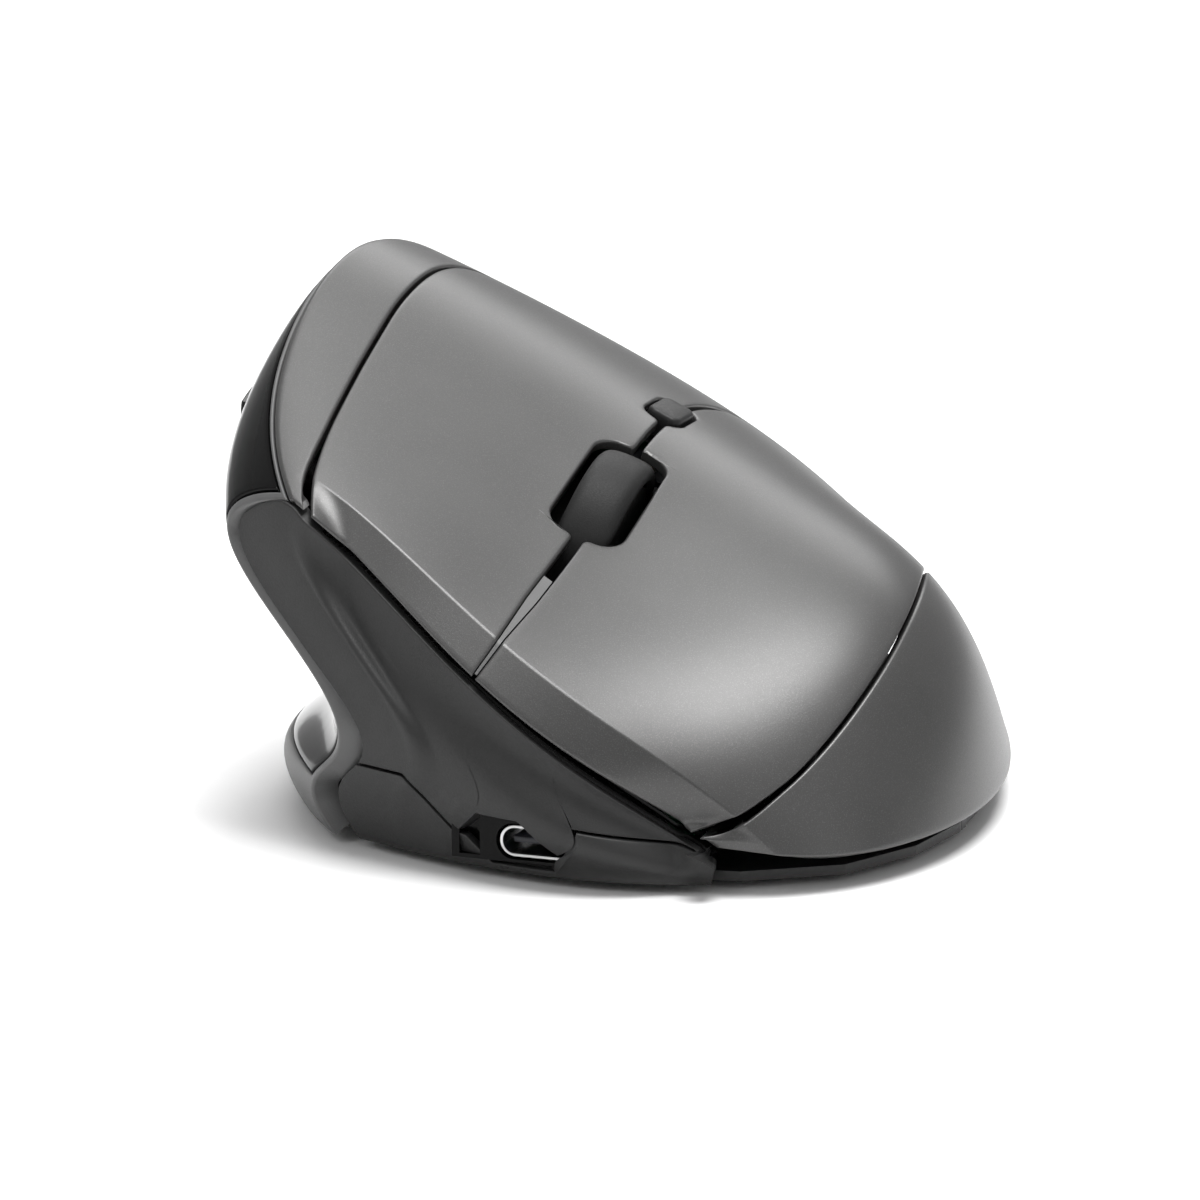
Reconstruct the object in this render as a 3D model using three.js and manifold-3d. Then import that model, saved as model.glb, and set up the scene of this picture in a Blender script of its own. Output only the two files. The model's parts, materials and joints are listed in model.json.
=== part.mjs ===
// A left-handed, semi-vertical computer mouse, in millimetres.
// -Y is the front (button end), -X the thumb side, +Z up from the desk.
import * as THREE from "three";
import { mergeVertices } from "three/addons/utils/BufferGeometryUtils.js";
import Module from "manifold-3d";

const wasm = await Module();
wasm.setup();

// ---------------------------------------------------------------- driving dimensions

const ORIGIN = [4.95, 0.55, 0]; // moves the bottom centre of the mouse to the origin
const WALL = 1.8; // moulded shell thickness
const REST_GAP = 0.3; // between pieces that sit against each other
const SEAM_GAP = 0.35; // half the gap at a seam where a key moves
const CHAMFER_T = 0.045; // where the front chamfer of the keys begins
const CHAMFER_SETBACK = 3; // how far the chamfer leans back
const KEY_FRONT_GAP = 1.25; // between the keys' front edge and the front panel
const HINGE_T = 0.56; // flex line of the two keys
const COVER_END_T = 0.87; // rear end of the palm cover
const THUMB_END_T = 0.8; // rear end of the thumb rest
const BAND_TOP = -0.09; // upper border of the thumb rest
const STRIP_END = -0.17; // where the front panel meets the thumb side
const CORNER_EASE = 0.6; // extra clearance of the keys at their two outer front corners
const SLIT = 0.367; // the split between the keys, across the palm
const SLIT_HALF = 0.6; // half the width of that split
const HALF_ROW_GAP = 0.004; // half the gap at the flex line, as a share of the length
const HALF_END_GAP = 0.003; // half the gap at the rear ends of the cover and the thumb rest

const FLOOR_BOTTOM = 0.9;
const FLOOR_TOP = 1.9;
const SKATE_THICKNESS = 0.6;
const POST_FOOT = 3.3; // lower end of the screw posts
const SCREW_BORE = 1.15;
const PCB_BOTTOM = 6;
const PCB_TOP = 7.2;

const WHEEL_T = 0.256; // place of the scroll wheel along the split
const WHEEL_RADIUS = 11.5;
const WHEEL_WIDTH = 5.8;
const WHEEL_PROUD = 2.6; // how far the wheel stands above the palm
const SLOT = { width: 8.2, length: 19.2, corner: 2.6 };
const DPI_T = 0.427;
const DPI_ACROSS = 0.362;
const DPI_HOLE = { width: 5.8, length: 8, corner: 2 };
const AXLE_RADIUS = 1;

const BOARD_TOP = -12.2; // upper face of the button board below the palm
const BOARD_THICKNESS = 1.2;
const BUTTON_PROUD = 0.7; // side buttons above the thumb rest
const PORT = { x: -0.9, y: -53.2, z: 4.1, width: 8.94, height: 3.26, depth: 7.3 };

// ---------------------------------------------------------------- rails of the outer surface
// Each rail runs from the front edge to the tail, as control points of a cubic B-spline.

const CREST_RAIL = [
  [-28.5, -50, 36.2], [-34.5, -43, 41], [-39.5, -26, 50.5], [-39.5, -6, 59.5],
  [-34, 12, 52.5], [-26, 34, 36], [-14, 56, 15], [-4, 56, 5],
];

const PALM_RAILS = [
  CREST_RAIL,
  [[-22, -53, 33.5], [-24, -46, 38.5], [-27, -28, 45.5], [-27.5, -7, 54],
    [-23, 13, 48.5], [-16, 36, 33], [-9, 56, 15], [-4, 56, 5]],
  [[-6.7, -59.5, 21.5], [-6, -50, 25], [-5, -30, 29.5], [-5, -8, 40.5],
    [-2, 14, 38.5], [-1, 38, 26], [-2, 56, 13.5], [-4, 56, 5]],
  [[8, -58.5, 12], [12, -52, 15.5], [17, -33, 24.5], [18, -11, 34],
    [14, 11, 26], [9, 36, 18], [4, 56, 11], [-4, 56, 5]],
  [[14, -54.5, 8], [21, -51, 7.5], [32, -36, 20], [36, -14, 25],
    [26, 8, 13.5], [18, 36, 11], [7, 56, 8], [-4, 56, 5]],
  [[16.8, -52, 5], [26, -50, 3.5], [35.5, -37, 3.5], [37, -14, 3.5],
    [31, 9, 3.5], [20, 36, 3.5], [8, 56, 4], [-4, 56, 5]],
];

const THUMB_RAILS = [
  CREST_RAIL,
  [[-32.5, -48.5, 36], [-38.5, -40, 42], [-43, -25, 50], [-43.5, -5, 55],
    [-39, 15, 49], [-31, 36, 33], [-15, 56, 13], [-4, 56, 5]],
  [[-39.5, -46, 34], [-45, -37, 39], [-47.5, -20, 42], [-48, 0, 43],
    [-42, 18, 37], [-33, 37, 27], [-15, 56, 11], [-4, 56, 5]],
  [[-35.5, -47.5, 27], [-40, -38, 29], [-41, -20, 31], [-41, 0, 31],
    [-39, 18, 27], [-32, 38, 19], [-15, 56, 10], [-4, 56, 5]],
  [[-23.5, -52.5, 17], [-29, -40, 18], [-31, -20, 18], [-32, 0, 19],
    [-34, 18, 17], [-31, 38, 12], [-14, 56, 8], [-4, 56, 5]],
  [[-21.5, -53, 10], [-29, -40, 10.5], [-35, -22, 10], [-38, 0, 10],
    [-37, 20, 10], [-30, 40, 8], [-13, 56, 6], [-4, 56, 5]],
  [[-30.5, -47, 6.5], [-38, -39, 7], [-47, -22, 6], [-46.5, 0, 5.5],
    [-40, 22, 5], [-30, 42, 4.5], [-13, 56, 5], [-4, 56, 5]],
  [[-26, -47, 1], [-34, -39, 1.5], [-41, -22, 2], [-42, 0, 2.5],
    [-37, 22, 3], [-28, 42, 3.5], [-12, 56, 4], [-4, 56, 5]],
];

const FRONT_FOOT = [[-23, -48, 1], [-15, -51.5, 1], [-4, -54.5, 1], [8, -55, 1], [16, -51, 1]];

// Height of the parting line between front panel and base, against X.
const FRONT_SEAM = [[-30, 10.2], [-15.7, 9.8], [-9.9, 4.4], [3.2, 4.4], [3.3, 6.8], [18, 4]];
// Seams of the palm: how far across they lie at points along the length.
const LEFT_SEAM = [
  [0, 0.04], [0.08, 0.058], [0.15, 0.07], [0.25, 0.075], [0.37, 0.07], [0.5, 0.055], [0.7, 0.06], [1, 0.12],
];
const RIGHT_SEAM = [
  [0, 0.955], [0.06, 0.89], [0.11, 0.87], [0.18, 0.85], [0.31, 0.816], [0.4, 0.795], [0.6, 0.77], [1, 0.75],
];

// ---------------------------------------------------------------- spline surfaces

function knot(index, count) {
  return THREE.MathUtils.clamp((index - 3) / (count - 3), 0, 1);
}

function splineWeight(index, degree, count, u) {
  if (degree === 0) return u >= knot(index, count) && u < knot(index + 1, count) ? 1 : 0;
  const rise = knot(index + degree, count) - knot(index, count);
  const fall = knot(index + degree + 1, count) - knot(index + 1, count);
  const up = rise > 0 ? (u - knot(index, count)) / rise : 0;
  const down = fall > 0 ? (knot(index + degree + 1, count) - u) / fall : 0;
  return up * splineWeight(index, degree - 1, count, u)
    + down * splineWeight(index + 1, degree - 1, count, u);
}

function splineWeights(count, u) {
  const inside = THREE.MathUtils.clamp(u, 0, 1 - 1e-9);
  return Array.from({ length: count }, (_, index) => splineWeight(index, 3, count, inside));
}

function splinePoint(points, u) {
  const point = new THREE.Vector3();
  splineWeights(points.length, u).forEach((weight, index) => {
    point.addScaledVector(new THREE.Vector3(...points[index]), weight);
  });
  return point;
}

function netPoint(rails, across, along) {
  const point = new THREE.Vector3();
  const alongWeights = splineWeights(rails[0].length, along);
  splineWeights(rails.length, across).forEach((railWeight, rail) => {
    if (railWeight === 0) return;
    alongWeights.forEach((weight, index) => {
      if (weight === 0) return;
      point.addScaledVector(new THREE.Vector3(...rails[rail][index]), railWeight * weight);
    });
  });
  return point;
}

function interpolate(table, x) {
  const last = table.length - 1;
  if (x >= table[last][0]) return table[last][1];
  const upper = table.findIndex(([at]) => at > x);
  if (upper === 0) return table[0][1];
  const [x0, y0] = table[upper - 1];
  const [x1, y1] = table[upper];
  return THREE.MathUtils.lerp(y0, y1, (x - x0) / (x1 - x0));
}

// The whole hand surface: w runs from -1 at the thumb ledge over the crest at 0 to 1 at the right rim.
function rawWrap(w, t) {
  return w < 0 ? netPoint(THUMB_RAILS, -w, t) : netPoint(PALM_RAILS, w, t);
}

// The keys' front edge leans back, which leaves a chamfer as far as CHAMFER_T.
function frontEdge(w) {
  const strength = THREE.MathUtils.smoothstep(w, 0.02, 0.12)
    * (1 - THREE.MathUtils.smoothstep(w, 0.88, 0.97));
  const lean = new THREE.Vector3(-0.33, 0.92, -0.21).multiplyScalar(CHAMFER_SETBACK * strength);
  return rawWrap(w, 0).add(lean);
}

function wrapPoint(w, t) {
  if (t >= CHAMFER_T || w <= 0) return rawWrap(w, t);
  return frontEdge(w).lerp(rawWrap(w, CHAMFER_T), t / CHAMFER_T);
}

function wrapNormal(w, t) {
  if (t > 0.995) return new THREE.Vector3(0, 1, 0);
  const step = 0.008;
  const across = wrapPoint(Math.min(w + step, 1), t).sub(wrapPoint(Math.max(w - step, -1), t));
  const ahead = wrapPoint(w, Math.min(t + step, 1));
  const along = ahead.sub(wrapPoint(w, Math.max(t - step, 0)));
  return across.cross(along).normalize();
}

// The front corner of the crest is too narrow for the full wall.
function cornerThinning(w, t) {
  const ahead = 1 - THREE.MathUtils.smoothstep(t, 0.03, 0.14);
  const beside = 1 - THREE.MathUtils.smoothstep(Math.abs(w), 0.04, 0.12);
  return 1 - 0.6 * ahead * beside;
}

// At the keys' front edge the wall is cut level, so that nothing hangs below the edge.
// Beside the crest it borrows the normal of the flatter palm, so that strip and key stay parallel.
function wrapInward(w, t, wall) {
  const normal = wrapNormal(w > 0 ? Math.max(w, 0.06) : w, t);
  const depth = wall * cornerThinning(w, t);
  if (t > 0 || w <= 0) return normal.multiplyScalar(-depth);
  return new THREE.Vector3(0, depth / Math.max(Math.abs(normal.y), 0.5), 0);
}

const WRAP = {
  at: wrapPoint,
  outward: (w, t, height) => wrapNormal(w, t).multiplyScalar(height),
  inward: wrapInward,
};

// The front wall is a Coons patch between the keys' edge, the thumb rim, the foot line and the right end.
function frontTop(u) {
  const w = THREE.MathUtils.lerp(STRIP_END, 1, u);
  const drop = THREE.MathUtils.lerp(SEAM_GAP, KEY_FRONT_GAP, THREE.MathUtils.smoothstep(w, -0.035, 0.03));
  const point = w < 0 ? rawWrap(w, 0) : frontEdge(w);
  const inset = THREE.MathUtils.smoothstep(-w, 0, -STRIP_END) * 1.3;
  return point.add(new THREE.Vector3(inset, 0, -drop));
}

function frontLeft(v) {
  const w = THREE.MathUtils.lerp(STRIP_END, -1, v);
  const rim = THREE.MathUtils.lerp(1.3, 3, THREE.MathUtils.smoothstep(v, 0.4, 0.8));
  return rawWrap(w, 0).add(new THREE.Vector3(rim, -0.2, 0));
}

function frontPoint(u, v) {
  const top = frontTop(u);
  const foot = splinePoint(FRONT_FOOT, u);
  const left = frontLeft(v);
  const right = frontTop(1).lerp(splinePoint(FRONT_FOOT, 1), v);
  const cornerTop = frontTop(0).lerp(frontTop(1), u);
  const cornerFoot = splinePoint(FRONT_FOOT, 0).lerp(splinePoint(FRONT_FOOT, 1), u);
  const rows = top.lerp(foot, v);
  const columns = left.lerp(right, u);
  return rows.add(columns).sub(cornerTop.lerp(cornerFoot, v));
}

function frontNormal(u, v) {
  const step = 0.01;
  const across = frontPoint(Math.min(u + step, 1), v).sub(frontPoint(Math.max(u - step, 0), v));
  const down = frontPoint(u, Math.min(v + step, 1)).sub(frontPoint(u, Math.max(v - step, 0)));
  const normal = down.cross(across);
  normal.z = 0;
  return normal.normalize();
}

// The front wall is gridded the other way round, so its columns follow v and its rows follow u.
const FRONT = {
  at: (v, u) => frontPoint(u, v),
  outward: (v, u, height) => frontNormal(u, v).multiplyScalar(height),
  inward: (v, u, depth) => frontNormal(u, v).multiplyScalar(-depth),
};

// ---------------------------------------------------------------- solids

function toSolid(geometry) {
  const bare = new THREE.BufferGeometry();
  bare.setAttribute("position", geometry.getAttribute("position").clone());
  if (geometry.index) bare.setIndex(geometry.index.clone());
  const merged = mergeVertices(bare, 1e-4);
  const mesh = new wasm.Mesh({
    numProp: 3,
    vertProperties: Float32Array.from(merged.getAttribute("position").array),
    triVerts: Uint32Array.from(merged.index.array),
  });
  return new wasm.Manifold(mesh);
}

function toGeometry(solid) {
  const mesh = solid.getMesh();
  const geometry = new THREE.BufferGeometry();
  geometry.setAttribute("position", new THREE.Float32BufferAttribute(mesh.vertProperties, 3));
  geometry.setIndex(new THREE.Uint32BufferAttribute(mesh.triVerts, 1));
  const flat = geometry.toNonIndexed();
  flat.computeVertexNormals();
  return flat;
}

function spread(start, end, cells) {
  return Array.from({ length: cells + 1 }, (_, index) => THREE.MathUtils.lerp(start, end, index / cells));
}

function between(start, end, cells) {
  return spread(0, 1, cells).map((share) => (t) => THREE.MathUtils.lerp(start(t), end(t), share));
}

// A shell solid over those cells of a surface grid that keep(column, row) accepts.
function panel(surface, columns, rows, options = {}) {
  const { depth = WALL, height = 0, keep = () => true } = options;
  const width = columns.length;
  const layer = width * rows.length;
  const positions = [];
  for (const lift of [true, false]) {
    for (const row of rows) {
      for (const column of columns) {
        const across = column(row);
        const offset = lift ? surface.outward(across, row, height) : surface.inward(across, row, depth);
        positions.push(...surface.at(across, row).add(offset).toArray());
      }
    }
  }
  const kept = (i, j) => i >= 0 && j >= 0 && i < width - 1 && j < rows.length - 1 && keep(i, j);
  const faces = [];
  const quad = (a, b, c, d) => faces.push(a, b, c, a, c, d);
  for (let j = 0; j < rows.length - 1; j += 1) {
    for (let i = 0; i < width - 1; i += 1) {
      if (!kept(i, j)) continue;
      const a = j * width + i;
      const b = a + 1;
      const c = b + width;
      const d = a + width;
      quad(a, b, c, d);
      quad(d + layer, c + layer, b + layer, a + layer);
      if (!kept(i, j - 1)) quad(b, a, a + layer, b + layer);
      if (!kept(i, j + 1)) quad(d, c, c + layer, d + layer);
      if (!kept(i - 1, j)) quad(a, d, d + layer, a + layer);
      if (!kept(i + 1, j)) quad(c, b, b + layer, c + layer);
    }
  }
  const geometry = new THREE.BufferGeometry();
  geometry.setAttribute("position", new THREE.Float32BufferAttribute(positions, 3));
  geometry.setIndex(faces);
  return toSolid(geometry);
}

function place(solid, frame) {
  return frame ? solid.transform(frame.elements) : solid;
}

function box(x0, x1, y0, y1, z0, z1, frame) {
  const geometry = new THREE.BoxGeometry(x1 - x0, y1 - y0, z1 - z0);
  geometry.translate((x0 + x1) / 2, (y0 + y1) / 2, (z0 + z1) / 2);
  return place(toSolid(geometry), frame);
}

function upright(radius, x, y, z0, z1, frame, segments = 14) {
  const geometry = new THREE.CylinderGeometry(radius, radius, z1 - z0, segments);
  geometry.rotateX(Math.PI / 2).translate(x, y, (z0 + z1) / 2);
  return place(toSolid(geometry), frame);
}

function crosswise(radius, x0, x1, z, frame, segments = 20) {
  const geometry = new THREE.CylinderGeometry(radius, radius, x1 - x0, segments);
  geometry.rotateZ(Math.PI / 2).translate((x0 + x1) / 2, 0, z);
  return place(toSolid(geometry), frame);
}

function roundedShape(width, length, corner, cx = 0, cy = 0) {
  const shape = new THREE.Shape();
  const x = width / 2;
  const y = length / 2;
  shape.absarc(cx + x - corner, cy + y - corner, corner, 0, Math.PI / 2);
  shape.absarc(cx - x + corner, cy + y - corner, corner, Math.PI / 2, Math.PI);
  shape.absarc(cx - x + corner, cy - y + corner, corner, Math.PI, Math.PI * 1.5);
  shape.absarc(cx + x - corner, cy - y + corner, corner, Math.PI * 1.5, Math.PI * 2);
  return shape;
}

function prism(shape, z0, z1, frame, curveSegments = 4) {
  const depth = z1 - z0;
  const geometry = new THREE.ExtrudeGeometry(shape, { depth, bevelEnabled: false, curveSegments });
  geometry.translate(0, 0, z0);
  return place(toSolid(geometry), frame);
}

// A prism along Y, from an outline of X and Z.
function frontPrism(shape, y0, y1) {
  const depth = y1 - y0;
  const geometry = new THREE.ExtrudeGeometry(shape, { depth, bevelEnabled: false, curveSegments: 6 });
  geometry.rotateX(Math.PI / 2).translate(0, y1, 0);
  return toSolid(geometry);
}

// A cutter that is larger than the given solid by gap along each axis.
function grown(solid, gap) {
  const moves = [[gap, 0, 0], [-gap, 0, 0], [0, gap, 0], [0, -gap, 0], [0, 0, gap], [0, 0, -gap]];
  return moves.reduce((sum, move) => sum.add(solid.translate(move)), solid);
}

function largest(solid) {
  const pieces = solid.decompose();
  return pieces.reduce((best, piece) => (piece.volume() > best.volume() ? piece : best));
}

function clearOf(solid, others, gap = REST_GAP) {
  return largest(others.reduce((rest, other) => rest.subtract(grown(other, gap)), solid));
}

// A frame with X across the palm, Y towards the rear and Z out of the surface.
function frameAt(w, t) {
  const origin = wrapPoint(w, t);
  const outward = wrapNormal(w, t);
  const rear = wrapPoint(w, t + 0.02).sub(wrapPoint(w, t - 0.02));
  rear.addScaledVector(outward, -rear.dot(outward)).normalize();
  const across = rear.clone().cross(outward);
  return new THREE.Matrix4().makeBasis(across, rear, outward).setPosition(origin);
}

// How high a surface point lies in a frame, for pieces that reach up to the shell.
function heightIn(frame, w, t) {
  return wrapPoint(w, t).applyMatrix4(frame.clone().invert());
}

const product = new THREE.Group();
product.position.set(...ORIGIN);

function addPiece(name, solid, material) {
  const mesh = new THREE.Mesh(toGeometry(solid), material.clone());
  mesh.name = name;
  product.add(mesh);
  return solid;
}

// ---------------------------------------------------------------- materials

function plastic(color, roughness) {
  return new THREE.MeshStandardMaterial({ color, roughness, metalness: 0 });
}

function metal(color, roughness) {
  return new THREE.MeshStandardMaterial({ color, roughness, metalness: 1 });
}

const MATERIALS = {
  satin: plastic(0x6d6e6c, 0.42),
  matte: plastic(0x3b3b3a, 0.55),
  rim: plastic(0x5a5b5a, 0.5),
  gloss: plastic(0x0c0c0d, 0.08),
  black: plastic(0x1a1a1b, 0.6),
  rubber: plastic(0x2b2b2d, 0.8),
  board: plastic(0x1d5a38, 0.5),
  steel: metal(0xc8c9c6, 0.28),
  switchBody: plastic(0x1b1c20, 0.45),
  plunger: plastic(0xd9d4c4, 0.4),
  lens: plastic(0xb8c4cc, 0.05),
  foil: plastic(0x9aa0a3, 0.35),
  skate: plastic(0x222223, 0.35),
  cable: plastic(0xc9c4b5, 0.5),
};

// ---------------------------------------------------------------- seams and frames

const leftSeam = (t) => interpolate(LEFT_SEAM, t);
const rightSeam = (t) => interpolate(RIGHT_SEAM, t);
const PALM_WIDTH = 72; // millimetres that the palm measures across its unit width
const acrossGap = (gap) => gap / PALM_WIDTH;
const wheelFrame = frameAt(SLIT, WHEEL_T);
const dpiFrame = frameAt(DPI_ACROSS, DPI_T);
const thumbFrame = frameAt(-0.215, 0.29);

const wheelHole = prism(roundedShape(SLOT.width, SLOT.length, SLOT.corner), -5, 6, wheelFrame);
const dpiHole = prism(roundedShape(DPI_HOLE.width, DPI_HOLE.length, DPI_HOLE.corner), -5, 6, dpiFrame);

// ---------------------------------------------------------------- upper shells

const FORE_ROWS = [0, 0.02, CHAMFER_T, ...spread(0.085, 0.53, 10)];
const KEY_ROWS = [...FORE_ROWS, HINGE_T - HALF_ROW_GAP];
const SWITCH_SPOT = { across: 11, along: -8, plunger: -11 };
const RIB = { width: 2.4, length: 2, foot: BOARD_TOP + 7.9 };

// The rib under a key that presses its micro-switch.
function palmRib(side) {
  const x = SWITCH_SPOT.across * side;
  const y = SWITCH_SPOT.plunger;
  const roof = heightIn(wheelFrame, SLIT + x / 80, WHEEL_T - 0.09).z - WALL / 2;
  const [halfWidth, halfLength] = [RIB.width / 2, RIB.length / 2];
  return box(x - halfWidth, x + halfWidth, y - halfLength, y + halfLength, RIB.foot, roof, wheelFrame);
}

function palmKey(start, end, side) {
  const skin = panel(WRAP, between(start, end, 9), KEY_ROWS);
  return largest(skin.subtract(wheelHole).subtract(dpiHole)).add(palmRib(side));
}

// The seam beside a key is wider at its front corner, where the key travels furthest.
function keySideGap(t) {
  return acrossGap(SEAM_GAP + CORNER_EASE * (1 - THREE.MathUtils.smoothstep(t, 0, 0.12)));
}

const upperKey = palmKey((t) => leftSeam(t) + keySideGap(t), () => SLIT - acrossGap(SLIT_HALF), -1);
const lowerKey = palmKey(() => SLIT + acrossGap(SLIT_HALF), (t) => rightSeam(t) - keySideGap(t), 1);

const COVER_ROWS = [
  ...spread(HINGE_T + HALF_ROW_GAP, THUMB_END_T + HALF_END_GAP, 6), 0.835, COVER_END_T - HALF_END_GAP,
];
const coverColumns = between(
  (t) => leftSeam(t) + acrossGap(SEAM_GAP),
  (t) => rightSeam(t) - acrossGap(SEAM_GAP),
  16,
);
const palmCover = panel(WRAP, coverColumns, COVER_ROWS);

// The body shell is one moulding: crest strip, right side and tail, round the palm cover.
const TAIL_ROWS = [COVER_END_T + HALF_END_GAP, 0.9, 0.93, 0.96, 0.985, 1];
const BODY_ROWS = [...FORE_ROWS, ...COVER_ROWS.slice(0, -1), ...TAIL_ROWS];
const thumbColumns = spread(-1, BAND_TOP, 11).map((w) => () => w);
const crestSeamColumns = between(() => 0.02, (t) => leftSeam(t) - acrossGap(SEAM_GAP), 1);
const crestColumns = [() => -0.045, () => 0, ...crestSeamColumns];
const middleColumns = between(
  (t) => leftSeam(t) - acrossGap(SEAM_GAP),
  (t) => rightSeam(t) + acrossGap(SEAM_GAP),
  12,
).slice(1);
const sideColumns = between((t) => rightSeam(t) + acrossGap(SEAM_GAP), () => 1, 5).slice(1);
const bodyColumns = [...thumbColumns, ...crestColumns, ...middleColumns, ...sideColumns];
const crestStart = thumbColumns.length - 1;
const middleStart = crestStart + crestColumns.length;
const sideStart = middleStart + middleColumns.length;
const thumbEndRow = BODY_ROWS.indexOf(THUMB_END_T + HALF_END_GAP);
const coverEndRow = BODY_ROWS.indexOf(COVER_END_T + HALF_END_GAP);

function inBody(column, row) {
  if (column < crestStart) return row >= thumbEndRow;
  if (column >= middleStart && column < sideStart) return row >= coverEndRow;
  return true;
}

const bodySkin = panel(WRAP, bodyColumns, BODY_ROWS, { keep: inBody });
const BODY_POSTS = [{ x: 30.6, y: -22 }, { x: -1, y: 49.8 }];

// Everything from halfway through the palm's wall outwards, to trim posts that end in the wall.
const outsideWall = panel(WRAP, between(() => 0.02, () => 0.99, 8), spread(0.02, 0.98, 9),
  { height: 25, depth: WALL / 2 });

function hangingPost({ x, y }) {
  const post = upright(2.4, x, y, POST_FOOT, 30);
  return post.subtract(upright(SCREW_BORE, x, y, 0, 9)).subtract(outsideWall);
}

const bodyShell = BODY_POSTS.reduce((shell, post) => shell.add(hangingPost(post)), bodySkin);

// ---------------------------------------------------------------- thumb side

const THUMB_ROWS = spread(0, THUMB_END_T, 20);
const THUMB_COLUMNS = spread(-1, BAND_TOP - acrossGap(REST_GAP), 16).map((w) => () => w);
const thumbInset = { low: 2, high: 15, front: 1, rear: 19 };

function inThumbPanel(column, row) {
  const across = column >= thumbInset.low && column < thumbInset.high;
  return across && row >= thumbInset.front && row < thumbInset.rear;
}

const thumbRing = panel(WRAP, THUMB_COLUMNS, THUMB_ROWS, { keep: (i, j) => !inThumbPanel(i, j) });
const thumbLow = THUMB_COLUMNS[thumbInset.low](0) + 0.005;
const thumbHigh = THUMB_COLUMNS[thumbInset.high](0) - 0.005;
const thumbFront = THUMB_ROWS[thumbInset.front] + 0.003;
const thumbRear = THUMB_ROWS[thumbInset.rear] - 0.003;

const BUTTON = { low: -0.27, high: -0.165, front: 0.15, split: 0.29, rear: 0.43 };

function thumbPatch(low, high, front, rear, options) {
  const columns = between(() => low, () => high, options.columns);
  return panel(WRAP, columns, spread(front, rear, options.rows), options);
}

const buttonWindow = thumbPatch(
  BUTTON.low - 0.006, BUTTON.high + 0.006, BUTTON.front - 0.004, BUTTON.rear + 0.004,
  { columns: 3, rows: 8, height: 2, depth: 4 },
);
const outsideThumb = panel(WRAP, between(() => -0.9, () => -0.06, 10), spread(0.02, 0.75, 12),
  { height: 12, depth: WALL / 2 });
const boardPosts = [-16.8, 16.8].map((y) => upright(1.9, -1, y, -7, 3, thumbFrame));
const postedSkin = boardPosts.reduce(
  (skin, post) => skin.add(post.subtract(outsideThumb)),
  thumbPatch(thumbLow, thumbHigh, thumbFront, thumbRear, { columns: 10, rows: 13 }),
);
const thumbSkin = postedSkin.subtract(upright(SCREW_BORE, -1, -16.8, -8, -3.4, thumbFrame));

function sideButton(front, rear, stemAlong) {
  const options = { columns: 3, rows: 5, height: BUTTON_PROUD };
  const cap = thumbPatch(BUTTON.low, BUTTON.high, front, rear, options);
  const stem = box(-1, 1, stemAlong - 1, stemAlong + 1, -4.4, -0.9, thumbFrame);
  return cap.add(stem);
}

const BUTTON_STEM = 8.5;
const forwardButton = sideButton(BUTTON.front, BUTTON.split - 0.003, -BUTTON_STEM);
const backButton = sideButton(BUTTON.split + 0.003, BUTTON.rear, BUTTON_STEM);

// ---------------------------------------------------------------- front wall, base and port

const seamHeight = (x) => interpolate(FRONT_SEAM, x);
const frontColumns = spread(0, 1, 20);
const frontRows = spread(0, 1, 7).map((v) => () => v);
const frontWall = panel(FRONT, frontRows, frontColumns);

function belowSeam(lift) {
  const shape = new THREE.Shape([
    new THREE.Vector2(-45, -4),
    new THREE.Vector2(30, -4),
    new THREE.Vector2(30, seamHeight(30) + lift),
    ...FRONT_SEAM.map(([x, z]) => new THREE.Vector2(x, z + lift)).reverse(),
    new THREE.Vector2(-45, seamHeight(-45) + lift),
  ]);
  return frontPrism(shape, -75, -38);
}

function outline(points) {
  return new THREE.Shape(points.map(([x, z]) => new THREE.Vector2(x, z)));
}

const RECESS = [[-9.8, 2.3], [-6.6, 1.9], [3.2, 1.9], [3.2, 2.7], [0.4, 4.5], [-2.2, 7.1], [-9.8, 7.1]];
const recessCut = frontPrism(outline(RECESS), -75, -40);
const portBlock = box(-10.4, 5.4, -53.4, -50.6, FLOOR_TOP + 0.1, 7.2);
const portHole = frontPrism(roundedShape(9.5, 3.66, 1.8, PORT.x, PORT.z), -60, -40);
const flare = frontPrism(outline([[-9.6, 2.4], [-7.4, 2.4], [-7.4, 6.8], [-9.6, 6.8]]), -54, -52);
const portBezel = portBlock.subtract(portHole).subtract(flare);

const TRIM_HEIGHT = 0.9;
const trimRows = [() => 0, () => 1];
const TRIM = {
  at: (v, u) => frontPoint(u, 0).add(new THREE.Vector3(0, 0.5, -v * TRIM_HEIGHT)),
  outward: () => new THREE.Vector3(),
  inward: (v, u, depth) => FRONT.inward(0, u, depth),
};
const frontTrim = panel(TRIM, trimRows, spread(0.2, 0.97, 16), { depth: 1.2 });

const keyPieces = [upperKey, lowerKey];
const frontUpper = clearOf(
  frontWall.subtract(belowSeam(REST_GAP / 2)).subtract(recessCut),
  [bodyShell, thumbRing, thumbSkin, frontTrim, portBezel, ...keyPieces],
);
const baseFront = frontWall.intersect(belowSeam(-REST_GAP / 2)).subtract(recessCut);

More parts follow.
